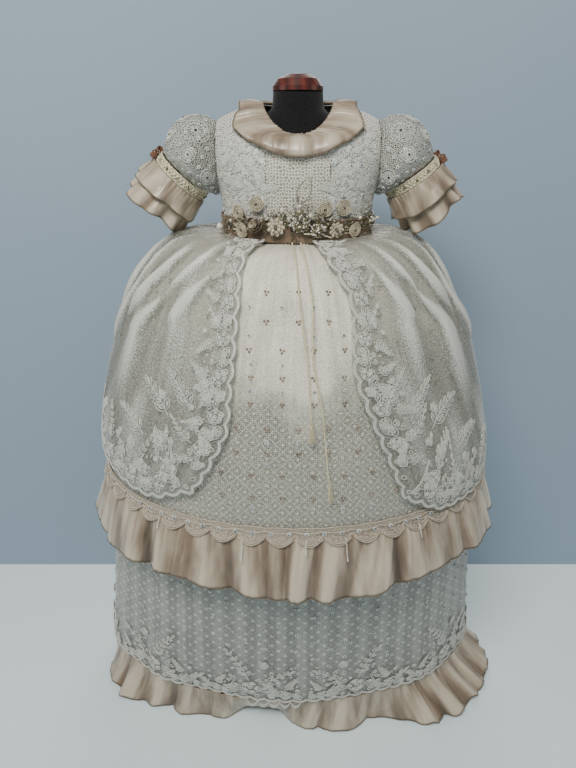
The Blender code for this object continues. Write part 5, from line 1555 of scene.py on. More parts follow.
tulle = glitter_tulle()
# spray's share of the way along the edges, size, and how tall its ferns stand
BORDER_SIZES = ((0.00, 0.70, 0.7), (0.12, 0.80, 0.8), (0.25, 0.95, 1.0), (0.36, 1.20, 1.4),
                (0.50, 1.15, 1.3), (0.70, 1.00, 1.0), (1.00, 0.95, 1.0))
# the tall spray at each lower corner: share along, share down, kind, size and turn
CORNER_MOTIFS = (
    (0.070, 0.925, "rose", 0.0125, 0.2), (0.035, 0.860, "rose", 0.0085, 0.7),
    (0.125, 0.935, "rose", 0.0095, 0.4), (0.060, 0.830, "rose", 0.0070, 0.1),
    (0.110, 0.860, "rose", 0.0070, 0.9), (0.070, 0.800, "fern", 0.0400, 1.75),
    (0.110, 0.820, "fern", 0.0440, 2.10), (0.150, 0.870, "fern", 0.0420, 2.45),
    (0.035, 0.790, "fern", 0.0340, 1.35), (0.020, 0.910, "fern", 0.0200, 1.00),
    (0.095, 0.890, "fern", 0.0240, 1.60), (0.050, 0.745, "rose", 0.0052, 0.3),
    (0.130, 0.780, "rose", 0.0050, 0.8), (0.170, 0.900, "rose", 0.0070, 0.2),
    (0.085, 0.965, "fern", 0.0180, 2.80), (0.150, 0.945, "fern", 0.0180, 0.40),
    (0.090, 0.760, "curl", 0.0050, 0.9), (0.045, 0.885, "curl", 0.0040, 2.1))
for hand, side_name in ((-1, "left"), (1, "right")):
    surface = overskirt_surface(hand)
    columns = np.linspace(0, 1, 170)[::hand]
    rows_down = np.linspace(0, 1, 64) ** 1.25
    grid = surface(columns, rows_down[:, None])
    panel = sheet(f"overskirt_{side_name}_cloth", grid, tulle, gathered=True)
    # How far each point stands out of its row: the tulle is painted lighter by it on its ridge tops, as
    # highlight.
    out = np.linalg.norm(grid[..., :2], axis=-1)
    near = np.stack([np.convolve(np.pad(line, 9, "edge"), np.full(19, 1 / 19), "valid")
                     for line in out])
    panel.data.attributes.new("crest_shading", "FLOAT", "POINT").data.foreach_set(
        "value", np.clip((out - near) / 0.0030, 0, 1).astype(np.float32).ravel())
    thicken(panel, 0.0004)
    settle(panel, "tulle", f"overskirt_{side_name}")
    place, length, corner = border_map(hand)
    sprays, x = [], 0.030
    while x < length - 0.02:
        _, size, tall = smooth_between(BORDER_SIZES, np.array(x / length))
        if abs(x - corner) > 0.030:
            sprays.append((x, size, tall, (-1) ** len(sprays)))
        x += 0.050 * size
    border = lace_border(f"overskirt_{side_name}_border", "white_lace",
                         f"overskirt_edging_{side_name}", place, length, sprays, 0.0240, 0.0050)

    def turned_out(u, v, surface=surface, hand=hand):
        return surface(hand * u, v)

    spots = [(hand * along, down, motif(kind, size, turned), hand > 0)
             for along, down, kind, size, turned in CORNER_MOTIFS]
    border += couch_motifs(f"overskirt_{side_name}_corner", "white_lace", turned_out, spots,
                           f"overskirt_edging_{side_name}")


# ----------------------------------------------------- upper hem and ruffle
# A band of blush net lace covers the upper skirt's hem, its scallops hanging over
# the wide ruffle of champagne taffeta gathered on below: uneven pleats between a
# few deeper folds, with a dark rolled hem.

blush_lace = open_lace("blush_net_lace", "E6DCCB", "AE9C85", 2.4, 0.35, 0.35)
blush_thread = white_embroidery("blush_cotton_thread", "EADFCE", "B3A189")


def hem_map(surface, table, hem_place):
    """Maps metres round a skirt's hem from the left side and metres up from it."""
    angles = np.linspace(-math.pi, math.pi, 721)
    hem = surface(angles, np.full_like(angles, hem_place))
    length = np.pad(np.cumsum(np.linalg.norm(np.diff(hem, axis=0), axis=1)), (1, 0))
    foot = row_at(table, hem_place)[0]

    def place(x, y, off):
        angle = np.interp(x, length, angles)
        return lifted(surface, angle, place_at_height(table, foot + y), off)

    return place, length[-1]


upper_hem, upper_hem_length = hem_map(upper_surface, UPPER_SKIRT, len(UPPER_SKIRT) - 1.0)
x = np.linspace(0, upper_hem_length, 1300)
count = round(upper_hem_length / 0.034)
wave = np.abs(np.sin(math.pi * count * x / upper_hem_length))


def hem_ring(table, angle):
    """A skirt's hem at angles, and the level way out of it."""
    _, left, right, front, back = table[-1]
    points = oval(angle, left, right, front, back, table[-1][0])
    outward = points * (1 / left, 1 / front, 0)
    return points, outward / np.linalg.norm(outward, axis=-1, keepdims=True)


def angle_on_hem(x):
    """The angle at x metres round the upper hem, near enough for what hangs from it."""
    return np.interp(x, np.linspace(0, upper_hem_length, 721), np.linspace(-math.pi, math.pi, 721))


def over_ruffle(x, y, off):
    """Like upper_hem, but below the hem it lies on the ruffle's top."""
    below = np.minimum(y, 0)
    reach = np.where(below < 0, 0.0035 - 0.45 * below, 0)
    outward = hem_ring(UPPER_SKIRT, angle_on_hem(x))[1] * reach[..., None]
    return upper_hem(x, np.maximum(y, 0), off) + outward + below[..., None] * (0, 0, 1)


HEM_LACE_TOP = 0.0125  # the band's upper edge, above the skirt's hem
points_down = 0.0015 - 0.0095 * wave
band = np.stack([over_ruffle(x, share * HEM_LACE_TOP + (1 - share) * points_down, 0.0018 + 0 * x)
                 for share in np.linspace(1, 0, 7)])
lace = thicken(sheet("upper_hem_lace_band", band[:, :-1], blush_lace, closed=True), 0.0006)
settle(lace, "white_lace", "upper_hem_lace")
edge_paths = [over_ruffle(x, points_down, 0.0024 + 0 * x),
              over_ruffle(x, points_down + 0.0022, 0.0024 + 0 * x),
              over_ruffle(x, HEM_LACE_TOP + 0.0012 * wave, 0.0024 + 0 * x),
              over_ruffle(x, 0.0085 - 0.0030 * wave, 0.0024 + 0 * x)]
for path in edge_paths:
    path[-1] = path[0]
lace_cords = corded("upper_hem_lace_cords", edge_paths, CORD * 0.9, blush_thread, 4)
drops = (np.arange(count * 2) + 0.5) * upper_hem_length / count / 2
drop_u = angle_on_hem(drops)
ring_spots = list(zip(drop_u, [float(place_at_height(UPPER_SKIRT, TIER_Z + 0.0050))] * len(drops)))
lace_rings = sewn("upper_hem_lace_sequins", SEQUIN,
                  seats_on(upper_surface, ring_spots, 0.0058, 0.0026), sequin_finish)
lace_eyes = sewn("upper_hem_lace_eyes", BEAD,
                 seats_on(upper_surface, ring_spots, 0.0022, 0.0034), jet_finish)
for piece in (lace_cords, lace_rings, lace_eyes):
    settle(piece, "white_lace", "upper_hem_lace")


def broad_pleats(angle, count, phase, share):
    """Pleats with rounded crests and sharp valleys, leaning a little as they fall."""
    angle = angle + 0.030 * np.sin(4 * angle + phase) * share
    swing = uneven(angle, count, phase)
    return 1.25 * swing - 0.35 * swing ** 2 + 0.25 * uneven(angle, 2 * count, 1.3 * phase)


# The folds between the ruffle's flat sections: degrees, half width in degrees, depth.
UPPER_RUFFLE_FOLDS = ((-66, 1.6, 0.0045), (-43, 1.5, 0.0055), (-19, 1.4, 0.0045), (-2, 1.3, 0.0060),
                      (6, 1.6, 0.0050), (27, 1.4, 0.0060), (51, 1.5, 0.0050), (72, 1.7, 0.0045),
                      (96, 1.8, 0.0045), (123, 1.5, 0.0050), (149, 1.7, 0.0045), (173, 1.6, 0.0050),
                      (-160, 1.5, 0.0045), (-137, 1.8, 0.0050), (-112, 1.5, 0.0045), (-89, 1.7, 0.0050))
share = np.linspace(0, 1, 22)[:, None]
around = turn(1080)
points, outward = hem_ring(UPPER_SKIRT, around)
leant = around + (0.05 * np.sin(3 * around + 0.5) + 0.03 * np.sin(8 * around)) * share
pleat = broad_pleats(leant, 28, 0.9, share) * (0.0004 + 0.0016 * share)
pleat = pleat + (0.0004 + 0.0026 * share) * uneven(leant, 13, 2.0)
pleat = pleat + share ** 0.4 * sharp_folds(leant, UPPER_RUFFLE_FOLDS)
pleat = pleat + 0.0026 * gather_lines(leant, 150, 0.9, share, 2.0)
pleat = pleat - 0.0020 * gather_lines(leant + 0.3, 84, 2.9, share, 0.35)
drop = SEAM + (TIER_Z - SEAM - 0.316) * share + 0.006 * share * np.sin(5 * around + 1.0)
drop = drop - 0.0022 * share * uneven(leant, 13, 2.0)
ruffle = points + outward * (0.026 * share ** 0.8 + pleat)[..., None] - drop[..., None] * (0, 0, 1)
satin_ruffle("upper_ruffle", ruffle, "upper_ruffle", (2.15, 0.075))

# Threads of tiny beads that hang from the upper hem, over the ruffle: the angle in
# degrees, and the length.
BEAD_DROPS = ((-13.5, 0.030), (2.0, 0.018), (12.0, 0.028), (-38.0, 0.015), (33.0, 0.018))
bead_size = 0.0022
drop_seats = []
for degrees, reach in BEAD_DROPS:
    start, outward = hem_ring(UPPER_SKIRT, np.array(math.radians(degrees)))
    for k in range(int(reach / bead_size)):
        spot = start + outward * (0.0075 + 0.42 * k * bead_size) - np.array([0, 0, k * bead_size])
        drop_seats.append((spot, outward, (0, 0, 1), (bead_size,) * 3))
settle(sewn("upper_ruffle_bead_threads", BEAD, drop_seats, pearl_finish), "white_lace",
       "upper_ruffle")


# -------------------------------------------------------------- lower skirt
# The long straight under-tier: silver-grey dotted net over satin, with sequins sewn
# on in staggered rows, and a white corded border with a few loose loops at its hem.

LOWER_TOP_Z, LOWER_HEM_Z = 0.394, 0.055
LOWER_SKIRT = ((LOWER_TOP_Z, 0.2670, 0.2630, 0.1920, 0.1090),
               (0.3000, 0.2740, 0.2650, 0.1800, 0.1100), (0.2000, 0.2860, 0.2715, 0.1690, 0.1120),
               (0.1100, 0.2980, 0.2800, 0.1620, 0.1130), (LOWER_HEM_Z, 0.3030, 0.2860, 0.1580, 0.1140))
LOWER_CREASES = ((-70, 5, 0.0022, 0.35, 0.06, 3), (-48, 4, -0.0020, 0.33, 0.06, -2),
                 (-27, 5, 0.0020, 0.34, 0.06, 2), (-9, 4, -0.0016, 0.30, 0.06, -3),
                 (14, 5, 0.0020, 0.33, 0.06, 3), (34, 4, -0.0020, 0.34, 0.06, 2),
                 (55, 5, 0.0022, 0.35, 0.06, -3), (76, 5, 0.0020, 0.34, 0.06, 3),
                 (105, 6, 0.0022, 0.35, 0.06, 3), (135, 6, 0.0022, 0.34, 0.06, -3),
                 (165, 6, 0.0020, 0.35, 0.06, 3), (-105, 6, 0.0022, 0.35, 0.06, -3),
                 (-135, 6, 0.0022, 0.35, 0.06, 3), (-165, 6, 0.0020, 0.34, 0.06, 3))


def lower_surface(angle, place):
    """The lower skirt, in broad waves that grow towards its hem."""
    level, left, right, front, back = np.moveaxis(row_at(LOWER_SKIRT, place), -1, 0)
    points = oval(angle, left, right, front, back, level)
    outward = points * (1, 1, 0)
    outward = outward / np.linalg.norm(outward, axis=-1, keepdims=True)
    share = (LOWER_TOP_Z - level) / (LOWER_TOP_Z - LOWER_HEM_Z)
    waves = 0.0035 * share * uneven(angle, 9, 2.1) + crease_heights(LOWER_CREASES, angle, level)
    return points + outward * np.asarray(waves)[..., None]


def dotted_net(name):
    """Dotted net over grey satin: soft round dots in staggered rows with smaller ones
    between them, on a broken ground of fine vertical and slanting threads."""
    made, tree, shader = new_material(name)
    uv = node(tree, "ShaderNodeUVMap", uv_map="cloth")
    place = node(tree, "ShaderNodeTexCoord").outputs["Object"]
    dot_mm = 13.5  # from dot to dot
    staggered = node(tree, "ShaderNodeMapping",
                     {"Vector": uv, "Rotation": (0, 0, math.radians(45)),
                      "Scale": (1000 / dot_mm, 1000 / dot_mm, 1.0)})
    cells = node(tree, "ShaderNodeTexVoronoi", {"Vector": staggered, "Scale": 1.0,
                                                "Randomness": 0.08}, voronoi_dimensions="2D")
    walls = node(tree, "ShaderNodeTexVoronoi", {"Vector": staggered, "Scale": 1.0,
                                                "Randomness": 0.08},
                 voronoi_dimensions="2D", feature="DISTANCE_TO_EDGE")
    half = node(tree, "ShaderNodeTexVoronoi", {"Vector": staggered, "Scale": 2.0,
                                               "Randomness": 0.12}, voronoi_dimensions="2D")
    net_mm = 2.2
    net = node(tree, "ShaderNodeTexVoronoi",
               {"Vector": uv, "Scale": 1000 / net_mm, "Randomness": 0.8},
               voronoi_dimensions="2D", feature="DISTANCE_TO_EDGE")
    cloud = node(tree, "ShaderNodeTexNoise", {"Vector": place, "Scale": 16.0, "Detail": 4.0,
                                              "Roughness": 0.6})
    big_dot = node(tree, "ShaderNodeValToRGB", {0: cells.outputs["Distance"]},
                   stops=((0.00, (1, 1, 1, 1)), (0.10, (0.85,) * 3 + (1,)),
                          (0.24, (0.35,) * 3 + (1,)), (0.36, (0, 0, 0, 1))))
    grain = node(tree, "ShaderNodeTexNoise", {"Vector": place, "Scale": 620.0, "Detail": 3.0,
                                              "Roughness": 0.7})
    columns = node(tree, "ShaderNodeTexWave", {"Vector": uv, "Scale": 1000 / 4.8 / 20,
                                               "Distortion": 0.6, "Detail": 1.0},
                   bands_direction="X")
    small = node(tree, "ShaderNodeMapRange", {0: half.outputs["Distance"], 1: 0.10, 2: 0.20,
                                              3: 0.45, 4: 0.0})
    lines = node(tree, "ShaderNodeMapRange", {0: walls.outputs["Distance"], 1: 0.02, 2: 0.06,
                                              3: 0.25, 4: 0.0})
    fine = node(tree, "ShaderNodeMapRange", {0: net.outputs["Distance"], 1: 0.05, 2: 0.24,
                                             3: 0.50, 4: 0.0})
    worked = node(tree, "ShaderNodeMath", {0: big_dot.outputs["Color"], 1: small},
                  operation="MAXIMUM")
    worked = node(tree, "ShaderNodeMath", {0: worked, 1: lines}, operation="MAXIMUM")
    worked = node(tree, "ShaderNodeMath", {0: worked, 1: fine}, operation="MAXIMUM")
    broken = node(tree, "ShaderNodeMapRange", {0: grain, 1: 0.36, 2: 0.60, 3: 0.15, 4: 1.15})
    worked = node(tree, "ShaderNodeMath", {0: worked, 1: broken}, operation="MULTIPLY",
                  use_clamp=True)
    lined = node(tree, "ShaderNodeMapRange", {0: columns, 1: 0.3, 2: 0.9, 3: 0.0, 4: 0.16})
    worked = node(tree, "ShaderNodeMath", {0: worked, 1: lined}, operation="ADD",
                  use_clamp=True)
    satin = node(tree, "ShaderNodeValToRGB", {0: cloud},
                 stops=((0.30, linear("53534C")), (0.70, linear("757570"))))
    tone = node(tree, "ShaderNodeMix", {0: worked, 6: satin, 7: linear("DCDDD6")},
                data_type="RGBA").outputs[2]
    relief = node(tree, "ShaderNodeBump", {"Height": worked, "Strength": 0.75,
                                           "Distance": 0.0008})
    rough = node(tree, "ShaderNodeMapRange", {0: worked, 3: 0.40, 4: 0.7})
    plug(tree, shader, {"Base Color": tone, "Normal": relief, "Roughness": rough,
                        "Sheen Weight": 0.25, "Sheen Roughness": 0.35})
    return made


silver_net = dotted_net("silver_dotted_net_on_satin")
places = np.linspace(0, len(LOWER_SKIRT) - 1, 56)
for half, middle in (("front", 0.0), ("back", math.pi)):
    angles = np.linspace(middle - math.pi / 2 + SIDE_GAP, middle + math.pi / 2 - SIDE_GAP, 150)
    skirt = sheet(f"lower_skirt_{half}_cloth", lower_surface(angles, places[:, None]),
                  silver_net, gathered=True)
    thicken(skirt, LACE_WALL)
    settle(skirt, "silver_lace", f"lower_skirt_{half}")
spots = rows_of_spots(LOWER_SKIRT, 0.372, 0.105, 0.0345, 0.0172, 1.0)
settle(sewn("lower_skirt_sequins", SEQUIN, seats_on(lower_surface, spots, 0.0052, 0.0004),
            sequin_finish), "silver_lace", "lower_skirt_front")
settle(sewn("lower_skirt_sequin_eyes", BEAD, seats_on(lower_surface, spots, 0.0021, 0.0011),
            jet_finish), "silver_lace", "lower_skirt_front")

lower_hem, lower_hem_length = hem_map(lower_surface, LOWER_SKIRT, len(LOWER_SKIRT) - 1.0)
repeats = round(lower_hem_length / 0.052)
sprays = [((k + 0.5) * lower_hem_length / repeats,
           (1.35 if k % 3 == 0 else 0.80) + 0.08 * math.sin(2.1 * k), 1.0 + 0.5 * (k % 3 == 0),
           (-1) ** k)
          for k in range(repeats)]


def lower_border(x, y, off):
    return lower_hem(x, y + 0.0012, off + 0.0022)


border = lace_border("lower_hem_border", "white_lace", "lower_hem_lace", lower_border,
                     lower_hem_length, sprays, lower_hem_length / round(lower_hem_length / 0.021),
                     0.0045)

# A loose double row of cord loops hangs below the hem at the front's left.
loops = []
for deep, start_off in ((0.011, 0.0030), (0.007, 0.0042)):
    t = np.linspace(-13.5, 1.5, 120)
    start, outward = hem_ring(LOWER_SKIRT, np.radians(t))
    swing = np.abs(np.sin(math.pi * (t + 13.5) / 3.0)) ** 0.7
    loops.append(start + outward * (start_off + 0.25 * deep * swing)[:, None]
                 - (deep * swing - 0.001)[:, None] * np.array([0, 0, 1.0]))
settle(corded("lower_hem_loops", loops, CORD * 1.3, cotton, 4), "white_lace", "lower_hem_lace")


# --------------------------------------------------------------- hem ruffle
# The taffeta ruffle under the lower skirt, which spreads where it meets the
# table: a wide pleated fan on the right, flatter pieces on the left, and tucked
# under the hem at the centre left.

# angle, and how far the ruffle reaches past the hem (less than 0 is tucked under)
LOWER_REACH = ((-180, 0.012), (-135, 0.016), (-105, 0.012), (-84, 0.006), (-66, 0.026),
               (-55, 0.034), (-44, 0.016), (-32, 0.008), (-21, 0.000), (-15, -0.026),
               (-6, -0.026), (0, 0.000), (6, 0.012), (14, 0.013), (26, 0.008), (33, 0.022),
               (41, 0.050), (60, 0.052), (80, 0.043), (104, 0.022),
               (140, 0.015), (180, 0.012))
share = np.linspace(0, 1, 20)[:, None]
points, outward = hem_ring(LOWER_SKIRT, around)
reach = smooth_between(LOWER_REACH, np.degrees(around))[:, 1]
# The deeper folds between its sections, in the same form.
LOWER_RUFFLE_FOLDS = ((-62, 1.6, 0.0040), (-38, 1.5, 0.0050), (10, 1.5, 0.0045), (24, 1.4, 0.0055),
                      (41, 1.6, 0.0050), (60, 1.5, 0.0050), (84, 1.8, 0.0040), (112, 1.6, 0.0045),
                      (141, 1.7, 0.0040), (170, 1.5, 0.0045), (-152, 1.8, 0.0040), (-121, 1.6, 0.0045),
                      (-93, 1.7, 0.0040))
fan = np.clip(reach / 0.045, 0, 1)
leant = around + (0.04 * np.sin(3 * around + 1.5) + 0.03 * np.sin(7 * around)) * share
pleat = broad_pleats(leant, 24, 2.6, share) * (0.0005 + 0.0020 * share)
pleat = pleat + share ** 0.4 * sharp_folds(leant, LOWER_RUFFLE_FOLDS)
pleat = pleat + 0.0020 * gather_lines(leant, 130, 2.6, share, 2.0) * (0.5 + fan)
pleat = pleat - 0.0018 * gather_lines(leant + 0.3, 66, 1.9, share, 0.35)
rise = 0.054 + (0.002 - 0.054) * share ** 0.75 + 0.25 * reach * share * (1 - share)
ripple = 0.0040 * fan * share * (1 + np.sin(58 * around + 1.5 * np.sin(9 * around)))
points = points * (1, 1, 0) + outward * (reach * share ** 1.3 + pleat)[..., None]
points = points + (rise + ripple)[..., None] * (0, 0, 1)
points[..., 2] = np.maximum(points[..., 2], 0.0018)
satin_ruffle("lower_ruffle", points, "lower_ruffle", (1.7, 0.055))


# -------------------------------------------------------------------- belt
# A belt of gathered brown satin with a crowded spray of ornaments sewn on by
# hand: soutache rosettes, a folded ribbon rose, petalled flowers, glass pearls,
# gilt and olive beads and leaves of wire.

BELT_HEIGHT, BELT_LIFT, BELT_OFF = 0.0262, 0.0008, 0.0028
belt_satin = champagne_taffeta("brown_belt_satin", "A8947C", "665543", "877260")
around = turn(300)
share = np.linspace(0, 1, 18)[:, None]
levels = WAIST_Z + BELT_LIFT + BELT_HEIGHT * (1 - share) + 0 * around
tucks = 0.0009 * np.sin(3 * math.pi * share + 1.1 * np.sin(2.3 * around)) ** 2
belt = lifted(bodice_surface, around + 0 * share, -place_at_height(BODICE, levels),
              BELT_OFF + 0.0004 + tucks)
belt = thicken(sheet("belt_band_cloth", belt, belt_satin, closed=True), 0.0006)
settle(belt, "brown_satin", "belt_band")

cream_cord = white_embroidery("champagne_soutache", "E9DFC6", "97896C", 1.0)
ivory_satin = champagne_taffeta("ivory_petal_satin", "F1EBDB", "B9AE97", "DCCFBA")
felt = white_embroidery("olive_brown_backing_felt", "85795F", "4E4533", 1.4)
crystal = glass_beads("smoked_crystal_cabochon", "5C574F", "24221F", 0.05, 1.0)
gilt = glass_beads("gilt_bead", "A39672", "5B5238", 0.20)
olive = glass_beads("olive_bead", "77754F", "3C3B28", 0.16)
wire = glass_beads("olive_wire", "6C6A50", "3B3A2B", 0.30, 0.3)

# kind, x, z, radius, thickness and how far off the belt
ORNAMENTS = {
    "rosette_left_outer": ("rosette", -0.0660, 0.7370, 0.0092, 0.0028, 0.0012),
    "rosette_left_upper": ("rosette", -0.0455, 0.7480, 0.0092, 0.0028, 0.0010),
    "rosette_left_lower": ("rosette", -0.0620, 0.7180, 0.0088, 0.0028, 0.0028),
    "rosette_right_inner": ("rosette", 0.0290, 0.7430, 0.0092, 0.0028, 0.0010),
    "rosette_right_outer": ("rosette", 0.0500, 0.7440, 0.0096, 0.0028, 0.0010),
    "rosette_right_lower": ("rosette", 0.0625, 0.7180, 0.0088, 0.0028, 0.0030),
    "satin_rose": ("rose", -0.0455, 0.7275, 0.0105, 0.0090, 0.0042),
    "ivory_flower": ("flower", -0.0235, 0.7240, 0.0115, 0.0060, 0.0030),
    "cream_flower": ("flower", 0.0410, 0.7200, 0.0100, 0.0055, 0.0030),
    "pearl_spray_middle": ("spray", 0.0020, 0.7310, 0.0130, 0.0080, 0.0030),
    "pearl_spray_lower": ("spray", 0.0215, 0.7210, 0.0095, 0.0065, 0.0030),
    "pearl_spray_right": ("spray", 0.0795, 0.7270, 0.0080, 0.0060, 0.0045),
    "pearl_left": ("pearl", -0.0820, 0.7190, 0.0045, 0.0080, 0.0030)}
KIND_SLOTS = {"rosette": "cream_braid", "rose": "brown_satin", "flower": "ivory_lace",
              "spray": "pearl", "pearl": "pearl"}


def belt_place(x, height, off):
    """The point over the belt at x and a height, and the directions there."""
    spot = bodice_spot(x, height)
    facing = normal_at(bodice_surface, *spot)
    across = np.cross((0, 0, 1.0), facing)
    across /= np.linalg.norm(across)
    return bodice_surface(*spot) + facing * (BELT_OFF + off), facing, across


def rosette_cords(at, radius, thick, turned):
    """Double soutache wound flat from the middle out, its end tucked under."""
    t = np.linspace(0.16, 1, 150)
    paths = []
    for strand in (0, math.pi):
        angle = turned + strand + 2 * math.pi * 2.4 * t
        r = radius * t
        height = thick * (0.45 + 0.35 * (1 - t)) + 0 * t
        paths.append(at(r * np.cos(angle), r * np.sin(angle), height))
    return paths


def ribbon_rose(name, at, radius, thick):
    """A rose of ribbon folded round itself: a cream heart inside brown petals."""
    pieces = []
    for part, finish, inner, outer, turns, first in (
            ("petals", belt_satin, 0.42, 1.0, 2.2, 0.4), ("heart", ivory_satin, 0.06, 0.5, 2.4, 2.0)):
        t = np.linspace(0, 1, 110)
        angle = first + 2 * math.pi * turns * t
        r = radius * (inner + (outer - inner) * t)
        edge = 1 + 0.10 * np.sin(3.2 * angle) + 0.05 * np.sin(7 * angle)
        rise = np.linspace(1, 0, 6)[:, None]
        lean = r * (0.80 + 0.24 * rise * edge)
        top = thick * (1.0 - 0.55 * (r / radius) ** 2) * edge
        grid = at(lean * np.cos(angle), lean * np.sin(angle), 0.0004 + top * rise)
        pieces.append(thicken(sheet(f"{name}_{part}", grid, finish), 0.0004))
    return pieces


for turned, (ornament_name, (kind, x, z, radius, thick, off)) in enumerate(ORNAMENTS.items()):
    middle, facing, across = belt_place(x, z, off)
    upward = np.cross(facing, across)
    node_name, slot_name = f"belt_{ornament_name}", KIND_SLOTS[kind]

    def at(x_there, y_there, height, middle=middle, facing=facing, across=across, up=upward):
        there = np.stack(np.broadcast_arrays(x_there, y_there, height), -1)
        return middle + there @ np.array([across, up, facing])

    if kind == "rosette":
        paths = rosette_cords(at, radius, thick, 1.7 * turned)
        settle(corded(f"{node_name}_soutache", paths, 0.00058, cream_cord, 5), slot_name, node_name)
        seat = [(at(0, 0, 0.0004), facing, across, (2.05 * radius, 2.05 * radius, 0.0022))]
        settle(sewn(f"{node_name}_felt", BEAD, seat, felt), slot_name, node_name)
        seat = [(at(0, 0, thick * 0.75), facing, across, (0.0034, 0.0034, 0.0028))]
        settle(sewn(f"{node_name}_stone", BEAD, seat, crystal), slot_name, node_name)
    elif kind == "rose":
        for piece in ribbon_rose(node_name, at, radius, thick):
            settle(piece, slot_name, node_name)
    elif kind == "flower":
        seats = []
        for ring, (count, reach, long, wide, lift) in enumerate(
                ((9, 0.58, 0.86, 0.52, 0.25), (7, 0.34, 0.60, 0.42, 0.55))):
            for k in range(count):
                a = 2 * math.pi * (k + 0.4 * ring) / count
                way = math.cos(a) * across + math.sin(a) * upward
                tilted = facing - 0.55 * way
                seats.append((at(0, 0, thick * lift) + way * radius * reach, tilted, way,
                              (radius * long, radius * wide, radius * 0.55)))
        settle(sewn(f"{node_name}_petals", PETAL, seats, ivory_satin), slot_name, node_name)
        seat = [(at(0, 0, thick * 0.9), facing, across, (0.0046, 0.0046, 0.0030))]
        settle(sewn(f"{node_name}_stone", BEAD, seat, crystal), slot_name, node_name)
    else:
        count = {"spray": int(5.2e5 * radius ** 2), "pearl": 1}[kind]
        seats = {"pearl": [], "gilt": [], "olive": []}
        for k in range(count):
            a, r = 2.4 * k, radius * math.sqrt(k / count) * 0.95
            size = radius * 2 if kind == "pearl" else picks.uniform(0.0017, 0.0032)
            sort = ("pearl", "olive", "pearl", "gilt", "olive")[int(picks.integers(5))]
            if kind == "pearl":
                sort = "pearl"
            height = thick * (0.25 + 0.6 * (1 - (r / radius) ** 2))
            seats[sort].append((at(r * math.cos(a), r * math.sin(a), height), facing, across,
                                (size,) * 3))
        for sort, finish in (("pearl", pearl_finish), ("gilt", gilt), ("olive", olive)):
            if seats[sort]:
                settle(sewn(f"{node_name}_{sort}", BEAD, seats[sort], finish), slot_name,
                       node_name)

# Loose beads that fill in between the ornaments, and a few big pearls.
fill = {"pearl": [], "gilt": [], "olive": [], "stone": []}
for _ in range(950):
    x = picks.uniform(-0.083, 0.084)
    spread_here = 0.0105 + 0.004 * math.cos(x * 60)
    height = np.clip(0.7265 + 0.006 * math.cos(x * 45 + 0.3) + picks.normal(0, spread_here * 0.6),
                     0.7075, 0.757)
    sort = ("pearl", "gilt", "olive", "olive", "gilt", "stone")[int(picks.integers(6))]
    point, facing, across = belt_place(x, float(height), picks.uniform(0.0008, 0.0030))
    fill[sort].append((point, facing, across, (picks.uniform(0.0013, 0.0025),) * 3))
for x, height, size in ((-0.0165, 0.7440, 0.0050), (0.0125, 0.7385, 0.0052), (0.0640, 0.7330, 0.0046),
                        (0.0840, 0.7290, 0.0044), (-0.0700, 0.7290, 0.0040), (0.0010, 0.7480, 0.0044),
                        (-0.0100, 0.7350, 0.0040), (0.0270, 0.7250, 0.0036)):
    point, facing, across = belt_place(x, height, 0.0095)
    fill["pearl"].append((point, facing, across, (size,) * 3))
for sort, finish in (("pearl", pearl_finish), ("gilt", gilt), ("olive", olive), ("stone", crystal)):
    settle(sewn(f"belt_beads_{sort}", BEAD, fill[sort], finish), "pearl", "belt_band")

# Leaves and tendrils of covered wire, drawn on the belt and lifted off it.
# x, height, size, the way it points in degrees
WIRE_LEAVES = ((0.001, 0.7480, 2.5, 72), (0.016, 0.7330, 1.1, 20),
               (0.022, 0.7270, 1.2, -25), (0.010, 0.7180, 1.1, -60), (-0.004, 0.7150, 1.0, -95),
               (-0.016, 0.7160, 1.0, -140), (-0.034, 0.7180, 1.1, 205), (-0.055, 0.7260, 1.0, 160),
               (0.034, 0.7280, 1.1, 35), (0.050, 0.7280, 1.1, 10), (0.068, 0.7250, 1.2, -20),
               (0.072, 0.7350, 1.0, 40), (-0.073, 0.7240, 1.0, 190), (0.030, 0.7160, 1.0, -35))
wire_paths = []
for x, height, size, degrees in WIRE_LEAVES:
    drawing = together(moved(leaf(0.0130, 0.0056)), moved(curl(0.0024), 0.002, -0.001, 2.2))
    drawing = moved(drawing, x, 0, math.radians(degrees), size)
    for path in drawing[0]:
        points = [belt_place(px, height + py, 0.0042 + 0.0008 * math.sin(9 * i))[0]
                  for i, (px, py) in enumerate(path)]
        points = np.array(points)
        if np.linalg.norm(path[0] - path[-1]) < 1e-6:
            points[-1] = points[0]
        wire_paths.append(points)
settle(corded("belt_wire_leaves", wire_paths, 0.00045, wire, 4), "pearl", "belt_band")
tendril = np.array([belt_place(x, height, 0.0050 + 0.0006 * math.sin(200 * x))[0]
                    for x, height in zip(np.linspace(0.006, 0.036, 14),
                                         0.7170 - 0.0020 * np.linspace(0, 1, 14) ** 3
                                         - 0.0035 * np.linspace(0, 1, 14) ** 2)])
settle(corded("belt_tendril", [tendril], 0.0009, cream_cord, 6), "cream_braid", "belt_band")


# ------------------------------------------------------- cords and tassels
# Two thin twisted cords hang from the belt's middle down the skirt, each with a
# bound tassel, and a loop of thinner cord slips out at the belt's right end.

